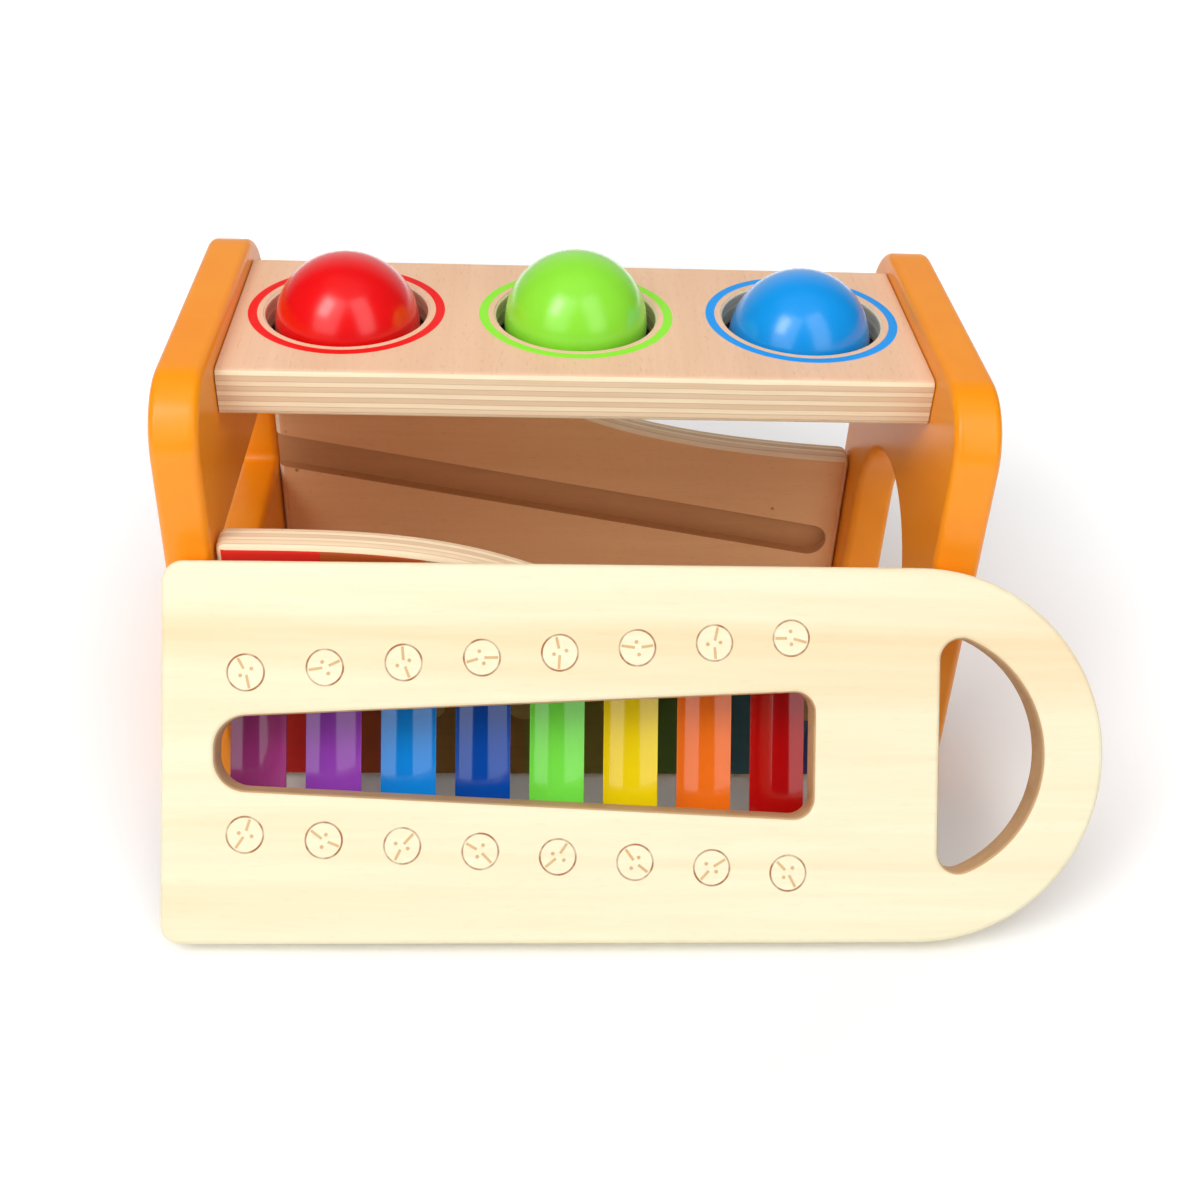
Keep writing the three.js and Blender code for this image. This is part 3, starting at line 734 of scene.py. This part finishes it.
# This face carries the painted shade of the bench's inside. It goes on both faces of the back panel and on
# the inner face of the front panel.
shaded_panel_face = plywood_face("birch_face_lengthwise_painted_shade", (0, 0, 0), INSIDE_SHADE_LIGHT, INSIDE_SHADE_DARK)
# The groove gets a darker copy of the plywood face, as painted shade in the recess.
groove_shade_wood = plywood_face("groove_painted_shade", (0, 0, 0), GROOVE_SHADE_LIGHT, GROOVE_SHADE_DARK)
back_wave, back_edge, part = wave_panel("back_wave", "back_panel", 1)
coat(back_wave, [shaded_panel_face, back_edge, shaded_panel_face, groove_shade_wood], part)
stand_for(back_wave, "back_panel")

# %% Printed front
PRINT_COLOURS = [(0.8, 0.006, 0.004), (0.5, 0.08, 0.008), (0.42, 0.2, 0.03), (0.3, 0.25, 0.03),
                 (0.08, 0.2, 0.02), (0.02, 0.16, 0.22), (0.012, 0.05, 0.26)]
DOT_PITCH, DOT_HEIGHT, DOT_RADIUS, DOT_EDGE = 30.0, 32.0, 5.0, 0.2
DOT_YELLOW, GRAIN_IN_PRINT = (0.9, 0.62, 0.2, 1), (0.05, 0.03, 0.02, 1)

printed_front, tree, shader = start_material("birch_face_with_colour_blocks")
colour, grain = plywood_colour(tree, (0, 0, 0))
place = object_place(tree, shift=-bench_middle)
across = parts_of(tree, place)
ramp = put(tree, "ShaderNodeValToRGB", {0: spread(tree, across[0], -WAVE_HALF * MM, WAVE_HALF * MM)})
ramp.color_ramp.interpolation = "CONSTANT"
for index, shade in enumerate(PRINT_COLOURS):
    at = index / len(PRINT_COLOURS)
    stop = ramp.color_ramp.elements[index] if index < 2 else ramp.color_ramp.elements.new(at)
    stop.position, stop.color = at, (*shade, 1)
cell = maths(tree, "PINGPONG", across[0], DOT_PITCH / 2 * MM)
dot_x = maths(tree, "SUBTRACT", cell, DOT_PITCH / 2 * MM)
dot_z = maths(tree, "SUBTRACT", across[2], DOT_HEIGHT * MM)
from_dot = maths(tree, "SQRT", maths(tree, "ADD", maths(tree, "MULTIPLY", dot_x, dot_x),
                                     maths(tree, "MULTIPLY", dot_z, dot_z)))
dots = spread(tree, from_dot, DOT_RADIUS * MM, (DOT_RADIUS + DOT_EDGE) * MM, 1.0, 0.0)
inked = tinted(tree, ramp.outputs[0], DOT_YELLOW, dots, 0.55)
inked = tinted(tree, inked, GRAIN_IN_PRINT, grain["Lines"], 0.12)
feed(tree, shader, "Base Color", mixed(tree, 0.96, colour, inked))
feed(tree, shader, "Roughness", spread(tree, grain["Lines"], 0.0, 1.0, 0.38, 0.5))
bump(tree, shader, grain["Lines"], 0.08, 0.15 * MM)
fix(shader, {"Specular IOR Level": 0.2})

front_wave, front_edge, part = wave_panel("front_wave", "front_panel", -1)
coat(front_wave, [shaded_panel_face, front_edge, printed_front, groove_shade_wood], part)
stand_for(front_wave, "front_panel")

# %% [markdown]
# ## The balls
#
# A ball could be a UV sphere, but its poles would show in the gloss. A cube that is divided and pushed
# out to a sphere has even faces all over. The lacquer is thick and glossy with a little unevenness.

# %% Balls
def lacquer(name, colour):
    material, shader = coated(name, colour, deeper(colour, 0.9), (70.0, 0.17, 0.25), (0.05, 0.2 * MM))
    fix(shader, {"Coat Weight": 0.6, "Coat Roughness": 0.22})
    return material


BALL_RADIUS, BALL_CUTS = 22.5 * MM, 15
for name, centre in ball_centres.items():
    side = BALL_RADIUS
    ball = block("lacquered_ball_" + name, (-side, -side, -side), (side, side, side))
    edit_all(ball)
    bpy.ops.mesh.subdivide(number_cuts=BALL_CUTS)
    bpy.ops.transform.tosphere(value=1)
    done()
    radius = max(v.co.length for v in ball.data.vertices)
    ball.data.transform(Matrix.Translation(centre) @ Matrix.Scale(BALL_RADIUS / radius, 4))
    take(ball)
    bpy.ops.object.shade_smooth()
    coat(ball, [lacquer("gloss_lacquer_" + name, BALL_COLOURS[name])])
    stand_for(ball, "ball_" + name)

# %% [markdown]
# ## The grip rings
#
# A black rubber ring sits in the wall of each hole and is drawn out against the ball by a thin lip. It
# is a profile that is turned about the hole's axis with the spin tool.

# %% Grip rings
RUBBER, RUBBER_WORN = (0.012, 0.011, 0.011, 1), (0.026, 0.024, 0.023, 1)
RING_RADIUS, RING_HIGH, RING_EASE = 27.6, 3.6, 0.4
LIP_HIGH, LIP_GAP = 1.6, 0.3

rubber = coated("matt_black_rubber", RUBBER, RUBBER_WORN, (220.0, 0.62, 0.8), (0.2, 0.1 * MM))[0]
for name, centre in ball_centres.items():
    low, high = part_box("grip_ring_" + name)
    lip = math.sqrt(BALL_RADIUS ** 2 - (centre.z - low.z - LIP_HIGH * MM) ** 2) / MM + LIP_GAP
    ring = turned("rubber_ring_" + name, [
        (lip + RING_EASE, 0), (RING_RADIUS - RING_EASE, 0), (RING_RADIUS, RING_EASE),
        (RING_RADIUS, RING_HIGH - RING_EASE), (RING_RADIUS - RING_EASE, RING_HIGH),
        (HOLE_RADIUS, RING_HIGH), (lip + 0.8, 2.4), (lip + 0.2, 2.0), (lip, LIP_HIGH), (lip, RING_EASE),
        (lip + RING_EASE, 0)], HOLE_STEPS)
    ring.data.transform(Matrix.Translation((centre.x, centre.y, low.z)))
    smooth(ring)
    coat(ring, [rubber])
    stand_for(ring, "grip_ring_" + name)

# %% [markdown]
# ## The key board
#
# It is modelled lying flat, in the frame in which it was made: the underside on Z = 0, X along the board
# from the middle of the first key, and the posts either side of the middle line. One end is square with
# small corners and the other a half circle. The window for the sound and the D-shaped hand hole are cut
# through. A line along the board, drawn before that, runs through both of them, so that no face has a
# hole in it and the edges round over cleanly. Then the holes of the posts are drilled. Only when a piece
# is finished does one matrix lean it against the bench.

# %% Key board
KEYS = ["violet", "purple", "light_blue", "dark_blue", "green", "yellow", "orange", "red"]
KEY_PITCH, FIRST_PIN_HALF, PIN_HALF_STEP = 22.15, 23.0, 1.56
BOARD_HEAD, BOARD_HALF, BOARD_THICK, BOARD_CORNER = -23.8, 54.5, 11.5, 6.0
ROUND_END = 193.0
WINDOW_HEAD, WINDOW_TAIL, WINDOW_HEAD_HALF, WINDOW_TAIL_HALF = -8.6, 162.15, 10.1, 18.4
WINDOW_HEAD_CORNER, WINDOW_TAIL_CORNER = 8.5, 6.0
HAND_BOW, HAND_STRAIGHT, HAND_CORNER = 36.5, 199.1, 6.0
POST_RADIUS, POST_GAP, POST_STEPS = 5.15, 0.05, 40
ROWS = ("a", -1), ("b", 1)
PLANK_EASE, SPLIT_LINE = 1.75 * MM, 1.2
LEAN_TURN = math.radians(-125)
FIRST_KEY_PLACE = Vector((-93.8, -104.65016, 50.55162)) * MM
leaning = Matrix.Translation(bench_middle + FIRST_KEY_PLACE) @ Matrix.Rotation(LEAN_TURN, 4, "X")


def pin_half(index):
    return FIRST_PIN_HALF + PIN_HALF_STEP * index


def pin_spot(index, side):
    return index * KEY_PITCH, side * pin_half(index)


def millimetres(*values):
    return [v * MM for v in values]


def arc(x, y, radius, start, end, steps):
    angles = [start + (end - start) * step / steps for step in range(steps + 1)]
    return [(x + radius * math.cos(a), y + radius * math.sin(a)) for a in angles]


key_plank = block("key_plank", millimetres(BOARD_HEAD, -BOARD_HALF, 0),
                  millimetres(ROUND_END + BOARD_HALF, BOARD_HALF, BOARD_THICK))
round_edges(key_plank, lambda e: runs_along(e, 2) and middle_of(e).x < 0, BOARD_CORNER * MM, 8)
round_edges(key_plank, lambda e: runs_along(e, 2) and middle_of(e).x > ROUND_END * MM,
            BOARD_HALF * MM - SHY, 40)

split(key_plank, millimetres(0, SPLIT_LINE, 0), (0, 1, 0))
cutter = block("window_cutter", millimetres(WINDOW_HEAD, -WINDOW_TAIL_HALF, -OVER),
               millimetres(WINDOW_TAIL, WINDOW_TAIL_HALF, BOARD_THICK + OVER))
pick(cutter, "VERT", lambda v: v.co.x < 0)
bpy.ops.transform.resize(value=(1, WINDOW_HEAD_HALF / WINDOW_TAIL_HALF, 1))
done()
round_edges(cutter, lambda e: runs_along(e, 2) and middle_of(e).x < 0, WINDOW_HEAD_CORNER * MM, 12)
round_edges(cutter, lambda e: runs_along(e, 2) and middle_of(e).x > (WINDOW_TAIL - 1) * MM,
            WINDOW_TAIL_CORNER * MM, 10)
carve(key_plank, cutter)

corner_x = HAND_STRAIGHT - ROUND_END + HAND_CORNER
corner_y = math.sqrt((HAND_BOW - HAND_CORNER) ** 2 - corner_x ** 2)
tangent = math.atan2(corner_y, corner_x)
edge = [*arc(ROUND_END + corner_x, -corner_y, HAND_CORNER, math.pi, 2 * math.pi - tangent, 12),
        *arc(ROUND_END, 0, HAND_BOW, -tangent, tangent, 40)[1:-1],
        *arc(ROUND_END + corner_x, corner_y, HAND_CORNER, tangent, math.pi, 12)]
cutter = plate("hand_cutter", [Vector(millimetres(x, y, -OVER)) for x, y in edge],
               millimetres(0, 0, BOARD_THICK + 2 * OVER))
carve(key_plank, cutter)
ease(key_plank, PLANK_EASE, 4)

for index in range(len(KEYS)):
    for row, side in ROWS:
        drill(key_plank, POST_RADIUS + POST_GAP, pin_spot(index, side), -OVER, BOARD_THICK + OVER,
              POST_STEPS)
print("key board:", len(key_plank.data.polygons), "faces before it leans")

# %% [markdown]
# ## Pale wood
#
# The board and its posts are one pale wood with faint lines, darker on the walls of the holes through the
# board. Its pattern is laid out on the flat board, so the place of a point is first turned back from the
# lean. A thin, broken stain lies round the end of each post: the group finds the nearest post from the
# pitch of the keys and keeps the stain to the lowest millimetre.

# %% Pale wood
LEAN_BACK = (-LEAN_TURN, 0, 0)
PALE, PALE_TAN, PALE_LINE = (0.92, 0.87, 0.63, 1), (0.9, 0.7, 0.43, 1), (0.86, 0.62, 0.35, 1)
STAIN, PALE_PORE = (0.46, 0.17, 0.055, 1), (0.5, 0.3, 0.14, 1)
# WALL_LIGHT and WALL_DARK colour the walls of the window, the hand hole and the post holes darker than the
# board's faces.
WALL_LIGHT, WALL_DARK = (0.66, 0.42, 0.22, 1), (0.5, 0.28, 0.13, 1)
RIM_WIDTH = 8
flat_shift = -(Matrix.Rotation(-LEAN_TURN, 3, "X") @ (bench_middle + FIRST_KEY_PLACE))

post_stain, given, result = new_group(
    "post_stain", {"Vector": None, "Inner": 0.0048, "Outer": 0.0055}, ["Mask"])
parts = parts_of(post_stain, given["Vector"])
nearest = maths(post_stain, "ROUND", maths(post_stain, "DIVIDE", parts[0], KEY_PITCH * MM))
nearest = maths(post_stain, "MAXIMUM", maths(post_stain, "MINIMUM", nearest, len(KEYS) - 1), 0.0)
off_x = maths(post_stain, "SUBTRACT", parts[0], maths(post_stain, "MULTIPLY", nearest, KEY_PITCH * MM))
row_half = maths(post_stain, "MULTIPLY_ADD", nearest, PIN_HALF_STEP * MM, FIRST_PIN_HALF * MM)
off_y = maths(post_stain, "SUBTRACT", maths(post_stain, "ABSOLUTE", parts[1]), row_half)
place = put(post_stain, "ShaderNodeCombineXYZ", {0: off_x, 1: off_y}).outputs[0]
ring = place_group(post_stain, painted_band, {
    "Vector": place, "Inner": given["Inner"], "Outer": given["Outer"]})
patches = noise(post_stain, given["Vector"], 210.0, 2.0)
mask = maths(post_stain, "MULTIPLY", ring["Mask"], spread(post_stain, patches, 0.36, 0.62, 0.3, 1.0))
mask = maths(post_stain, "MULTIPLY", mask, spread(post_stain, parts[2], 0.3 * MM, 0.8 * MM, 1.0, 0.0))
give(post_stain, result, {"Mask": mask})


def pale_wood(name, amount, lines, base=PALE, tan=PALE_TAN):
    material, tree, shader = start_material(name)
    place = object_place(tree, turn=LEAN_BACK, shift=flat_shift)
    grain = place_group(tree, wood_grain, {"Vector": place, "Lines": lines, "Stretch": 18.0, "Drift": 1.1})
    colour = tinted(tree, base, tan, maths(tree, "POWER", grain["Tone"], 2.2), amount)
    colour = tinted(tree, colour, PALE_LINE, grain["Lines"], 0.18)
    colour = tinted(tree, colour, PALE_PORE, grain["Pores"], 0.05)
    colour = mixed(tree, place_group(tree, post_stain, {"Vector": place})["Mask"], colour, STAIN)
    finish_wood(tree, shader, colour, grain, (0.5, 0.62))
    return material


plank_face = pale_wood("pale_plank_face", 1.1, 170.0)
plank_rim = pale_wood("pale_plank_rim", 0.8, 300.0)
darker_hole_wall = pale_wood("darker_hole_wall", 0.9, 420.0, WALL_LIGHT, WALL_DARK)


def plank_part(face):
    if abs(face.normal.z) > 0.75:
        return 0
    spot = face.center / MM
    from_end = math.hypot(max(0, spot.x - ROUND_END), spot.y)
    outer = spot.x < BOARD_HEAD + RIM_WIDTH or max(abs(spot.y), from_end) > BOARD_HALF - RIM_WIDTH
    near_post = any(math.hypot(spot.x - i * KEY_PITCH, abs(spot.y) - pin_half(i)) < POST_RADIUS + 1
                    for i in range(len(KEYS)))
    return 1 if outer and not near_post else 2


smooth(key_plank)
coat(key_plank, [plank_face, plank_rim, darker_hole_wall], plank_part)
key_plank.data.transform(leaning)
stand_for(key_plank, "key_board")

# %% [markdown]
# ## Posts and pins
#
# Each key hangs on two pins, and each pin is driven into a wooden post that goes right through the
# board. From below only the flush ends of the posts show, with the marks that the lathe left on them:
# a scored line, broken at the middle, and a dot either side. One post and one pin are turned, and each
# copy is twisted about its own axis by a different angle, so that no two marks lie alike.

# %% Posts and pins
POST_HEIGHT, POST_TIP, POST_EASE, BORE_RADIUS, BORE_FLOOR = 18.7, 0.3, 0.06, 1.5, 8.4
SCORES, SCORE_HALF, SCORE_DEPTH = ((0.7, 4.6, 7), (-4.6, -1.2, -9)), 0.4, 0.12
DOTS, SMALL_DOT, SMALL_DOT_DEPTH = ((-0.5, -1.9), (0.3, 1.7)), 0.55, 0.15
SCORED_LIGHT, SCORED_DARK = (0.74, 0.49, 0.24, 1), (0.62, 0.38, 0.17, 1)
ZINC, ZINC_DULL = (0.62, 0.63, 0.66, 1), (0.5, 0.51, 0.53, 1)
PIN_FOOT, PIN_RADIUS, PIN_POINT, HEAD_LOW = 8.7, 1.2, 0.5, 25.0
DOME = [(3.05, 0), (3.2, 0.15), (3.05, 0.6), (2.6, 1.05), (1.8, 1.45), (0.9, 1.65), (0, 1.7)]

post_end = pale_wood("post_wood", 0.5, 500.0)
scored = pale_wood("scored_end", 0.9, 500.0, SCORED_LIGHT, SCORED_DARK)
post = turned("post", [
    (0, 0), (POST_RADIUS - POST_EASE, 0), (POST_RADIUS, POST_EASE), (POST_RADIUS, POST_HEIGHT - POST_TIP),
    (POST_RADIUS - POST_TIP, POST_HEIGHT), (BORE_RADIUS, POST_HEIGHT), (BORE_RADIUS, BORE_FLOOR),
    (0, BORE_FLOOR)], POST_STEPS)
for start, end, bend in SCORES:
    score = block("score", millimetres(start, -SCORE_HALF, -0.5), millimetres(end, SCORE_HALF, SCORE_DEPTH))
    score.data.transform(Matrix.Rotation(math.radians(bend), 4, "Z"))
    carve(post, score)
for spot in DOTS:
    drill(post, SMALL_DOT, spot, -0.5, SMALL_DOT_DEPTH, 12)
smooth(post)


def on_mark(face):
    spot = face.center / MM
    return int(0.05 < spot.z < 0.6 and math.hypot(spot.x, spot.y) < 4.7)


coat(post, [post_end, scored], on_mark)

steel, shader = coated("zinc_pin", ZINC, ZINC_DULL, (400.0, 0.25, 0.42), (0.1, 0.05 * MM))
fix(shader, {"Metallic": 1.0})
pin = turned("pin", [(0, PIN_FOOT), (PIN_RADIUS, PIN_FOOT + PIN_POINT), (PIN_RADIUS, HEAD_LOW),
                     *((radius, HEAD_LOW + rise) for radius, rise in DOME)], 32)
smooth(pin)
coat(pin, [steel])

for index, key in enumerate(KEYS):
    for row, side in ROWS:
        spot = Matrix.Translation(millimetres(*pin_spot(index, side), 0))
        twist = Matrix.Rotation(math.radians(70 + 47 * (2 * index + (row == "b"))), 4, "Z")
        copy = copy_at(post, f"turned_post_{key}_{row}", leaning @ spot @ twist)
        stand_for(copy, f"post_{key}_{row}")
        copy = copy_at(pin, f"domed_pin_{key}_{row}", leaning @ spot)
        stand_for(copy, f"pin_{key}_{row}")
bpy.data.objects.remove(post)
bpy.data.objects.remove(pin)

# %% [markdown]
# ## The keys
#
# A key is a strip of sheet metal with an arched section and a gloss enamel. A straight line as long as
# the key is spun about an axis below it, which gives the arched sheet; its four corners are rounded by
# a vertex bevel, and Solidify gives it the thickness of the metal. Its long sides are trimmed upright and
# all edges eased, and last come the two holes for the pins.

# %% Keys
KEY_COLOURS = {
    "violet": (0.39, 0.042, 0.25), "purple": (0.33, 0.06, 0.52), "light_blue": (0.004, 0.28, 0.85),
    "dark_blue": (0.001, 0.075, 0.45), "green": (0.22, 0.9, 0.08), "yellow": (0.98, 0.74, 0.003),
    "orange": (0.97, 0.19, 0.01), "red": (0.55, 0.001, 0.002)}
KEY_WIDTH, KEY_RISE, KEY_THICKNESS, KEY_EDGE, KEY_OVERHANG, KEY_CORNER = 16.4, 2.2, 1.2, 21.3, 6.2, 2.5
KEY_EASE, KEY_BORE, BORE_LOW, BORE_HIGH = 0.2 * MM, 1.8, 15, 30
arch_radius = (KEY_WIDTH ** 2 / 4 + KEY_RISE ** 2) / (2 * KEY_RISE)
arch_spread = math.asin(KEY_WIDTH / 2 / arch_radius)
arch_centre = KEY_EDGE + KEY_RISE - arch_radius


def enamel(name, colour):
    material, shader = coated(name, (*colour, 1), deeper(colour, 0.94), (90.0, 0.08, 0.13),
                              (0.05, 0.1 * MM), LEAN_BACK)
    fix(shader, {"Coat Weight": 0.5, "Coat Roughness": 0.06})
    return material


for index, key in enumerate(KEYS):
    half = pin_half(index) + KEY_OVERHANG
    start = Vector((-KEY_WIDTH / 2, 0, KEY_EDGE))
    bar = draw_profile("enamelled_key_" + key, [(start + Vector((0, y, 0))) * MM for y in (-half, half)])
    turn_about(bar, 14, axis=(0, -1, 0), centre=(0, 0, arch_centre * MM), angle=2 * arch_spread)
    corner = KEY_WIDTH / 2 - 0.2, half - 0.2
    pick(bar, "VERT", lambda v: abs(v.co.x) > corner[0] * MM and abs(v.co.y) > corner[1] * MM)
    bpy.ops.mesh.bevel(offset=KEY_CORNER * MM, segments=5, affect="VERTICES", clamp_overlap=False)
    face_outwards()
    if sum(f.normal.z for f in bar.data.polygons) < 0:
        bar.data.flip_normals()
    apply(bar, "SOLIDIFY", thickness=KEY_THICKNESS * MM, offset=1)
    for side in (-1, 1):
        split(bar, millimetres(side * KEY_WIDTH / 2, 0, 0), (side, 0, 0), clear_outer=True, use_fill=True)
    ease(bar, KEY_EASE, 2)
    for side in (-1, 1):
        drill(bar, KEY_BORE, (0, side * pin_half(index)), BORE_LOW, BORE_HIGH, 20)
    smooth(bar)
    coat(bar, [enamel("gloss_enamel_" + key, KEY_COLOURS[key])])
    bar.data.transform(leaning @ Matrix.Translation(millimetres(index * KEY_PITCH, 0, 0)))
    stand_for(bar, "key_" + key)

# %% [markdown]
# ## The felt strips
#
# Under the ends of the keys lies a strip of dense felt along each row of posts, so that the keys ring
# without rattling. It is a thin block with eased edges and a woolly finish. Lines across it at even steps
# keep its faces short, so that the pin holes leave them clean.

# %% Felt strips
FELT_DARK, FELT_LIGHT = (0.03, 0.03, 0.033, 1), (0.09, 0.09, 0.095, 1)
FELT_TOP, FELT_THICKNESS, FELT_WIDTH, FELT_EASE = 21.0, 2.0, 8.0, 0.35 * MM
FELT_LENGTHS, FELT_BORE = 60, 1.5

felt, tree, shader = start_material("dense_grey_felt")
place = object_place(tree)
wool = noise(tree, place, 900.0, 4.0)
tufts = noise(tree, place, 180.0, 3.0)
feed(tree, shader, "Base Color", mixed(tree, spread(tree, wool, 0.3, 0.7), FELT_DARK, FELT_LIGHT))
feed(tree, shader, "Roughness", spread(tree, tufts, 0.3, 0.7, 0.88, 1.0))
bump(tree, shader, maths(tree, "ADD", wool, tufts), 0.5, 0.3 * MM)
fix(shader, {"Sheen Weight": 0.4})

last = len(KEYS) - 1
run = last * KEY_PITCH
for row, side in ROWS:
    angle = math.atan2(side * last * PIN_HALF_STEP, run)
    length = (run + KEY_WIDTH) / math.cos(angle)
    strip = block("felt_pad_" + row, millimetres(-length / 2, -FELT_WIDTH / 2, -FELT_THICKNESS / 2),
                  millimetres(length / 2, FELT_WIDTH / 2, FELT_THICKNESS / 2))
    ease(strip, FELT_EASE, 2)
    for cut in range(1, FELT_LENGTHS):
        split(strip, millimetres(length * (cut / FELT_LENGTHS - 0.5), 0, 0), (1, 0, 0))
    middle = side * (pin_half(0) + pin_half(last)) / 2
    strip.data.transform(Matrix.Translation(millimetres(run / 2, middle, FELT_TOP - FELT_THICKNESS / 2))
                         @ Matrix.Rotation(angle, 4, "Z"))
    for index in range(len(KEYS)):
        drill(strip, FELT_BORE, pin_spot(index, side), BORE_LOW, BORE_HIGH, 16)
    smooth(strip)
    coat(strip, [felt])
    strip.data.transform(leaning)
    stand_for(strip, "felt_strip_" + row)

# %% [markdown]
# ## The dowels
#
# Four dowels join the top board to the side panels. They are out of sight inside the wood, so their
# solids stay as they are and only get the pale wood that they are made of.

# %% Dowels
dowel_wood = plywood_face("dowel_beech", (0, 0, 0))
for node, solid in frame["nodes"].items():
    if node.startswith("dowel_"):
        coat(solid, [dowel_wood])
print("dressed the dowels")

# %% [markdown]
# ## Floor and light
#
# The toy stands on white paper. The floor is a plain white surface with a little white of its own, which
# only the camera, reflections and clear things see. It is weak round the toy, so that the shadow stays,
# and grows with the distance, so that the paper shows white without more light on the toy. The world is
# a faint even light, but reflections see it dark on the viewer's side, as a room behind a camera is.
#
# A tall lamp on each side draws the two light bands on the glossy pieces, the left one with a brighter
# pane in it. A large panel above gives the soft light and a weak one behind fills the far side; these
# two don't show in reflections.

# %% Floor
FLOOR_SIZE, FLOOR_HEIGHT = 6, -0.0002
PAPER, WHITE = (0.92, 0.92, 0.92, 1), (1, 1, 1, 1)
SHADOW_SHIFT, SHADOW_SQUEEZE = (0, -0.05, 0), (0.95, 0.6, 1)


def seen_by(tree, *rays):
    path = put(tree, "ShaderNodeLightPath").outputs
    seen = path[rays[0]]
    for ray in rays[1:]:
        seen = maths(tree, "MAXIMUM", seen, path[ray])
    return seen


take(None)
bpy.ops.mesh.primitive_plane_add(size=FLOOR_SIZE, location=(0, 0, FLOOR_HEIGHT))
floor = keep_as("paper_floor")
paper = bpy.data.materials.new("white_paper")
paper.use_nodes = True
tree = paper.node_tree
tree.nodes.clear()
matt = put(tree, "ShaderNodeBsdfDiffuse", {"Color": PAPER}).outputs[0]
away = vectors(tree, "MULTIPLY", object_place(tree, shift=SHADOW_SHIFT), SHADOW_SQUEEZE)[0]
away = vectors(tree, "LENGTH", away)["Value"]
near, far = spread(tree, away, 0.12, 0.28, 0.04, 0.5), spread(tree, away, 0.35, 1.2, 0.0, 0.4)
strength = maths(tree, "MULTIPLY", maths(tree, "ADD", near, far),
                 seen_by(tree, "Is Camera Ray", "Is Glossy Ray", "Is Transmission Ray"))
glow = put(tree, "ShaderNodeEmission", {"Color": WHITE, "Strength": strength}).outputs[0]
both = put(tree, "ShaderNodeAddShader", {0: matt, 1: glow}).outputs[0]
put(tree, "ShaderNodeOutputMaterial", {"Surface": both})
floor.data.materials.append(paper)
print("laid", floor.name)

# %% World
AMBIENT = 0.25

world = bpy.data.worlds.new("studio")
bpy.context.scene.world = world
world.use_nodes = True
tree = world.node_tree
tree.nodes.clear()
towards = parts_of(tree, put(tree, "ShaderNodeTexCoord").outputs["Generated"])
room = spread(tree, towards[1], 0.5, 0.95, 0.04, 0.6)
seen_white = spread(tree, seen_by(tree, "Is Camera Ray", "Is Transmission Ray"), 0.0, 1.0, AMBIENT, 1.0)
strength = maths(tree, "MULTIPLY_ADD", seen_by(tree, "Is Glossy Ray"),
                 maths(tree, "SUBTRACT", room, AMBIENT), seen_white)
sky = put(tree, "ShaderNodeBackground", {"Color": WHITE, "Strength": strength}).outputs[0]
put(tree, "ShaderNodeOutputWorld", {"Surface": sky})
print("made the world", world.name)

# %% Lamps
LAMPS_AIM = Vector((0, -0.03, 0.08))


def lamp(name, bearing, height, distance, size, power):
    data = bpy.data.lights.new(name, "AREA")
    data.shape, data.size, data.size_y, data.energy = "RECTANGLE", *size, power
    made = bpy.data.objects.new(name, data)
    bpy.context.scene.collection.objects.link(made)
    turn, up = math.radians(bearing), math.radians(height)
    back = Vector((math.sin(turn) * math.cos(up), -math.cos(turn) * math.cos(up), math.sin(up)))
    made.location = bench_middle + LAMPS_AIM + back * distance
    made.rotation_mode = "QUATERNION"
    made.rotation_quaternion = (-back).to_track_quat("-Z", "Y")
    return made


lamp("left_window", -36, 38, 1.0, (0.7, 1.06), 2.9)
lamp("left_bright_pane", -46, 46, 1.0, (0.28, 0.46), 1.85)
lamp("right_window", 35, 38, 1.0, (0.5, 1.06), 2.3)
lamp("top_panel", -10, 76, 2.2, (2.4, 2.4), 23).visible_glossy = False
lamp("back_fill", 165, 14, 1.4, (1.2, 0.5), 2.0).visible_glossy = False
bpy.context.scene.view_settings.view_transform = "Standard"
print("the lamps are in place:", [light.name for light in bpy.data.lights])
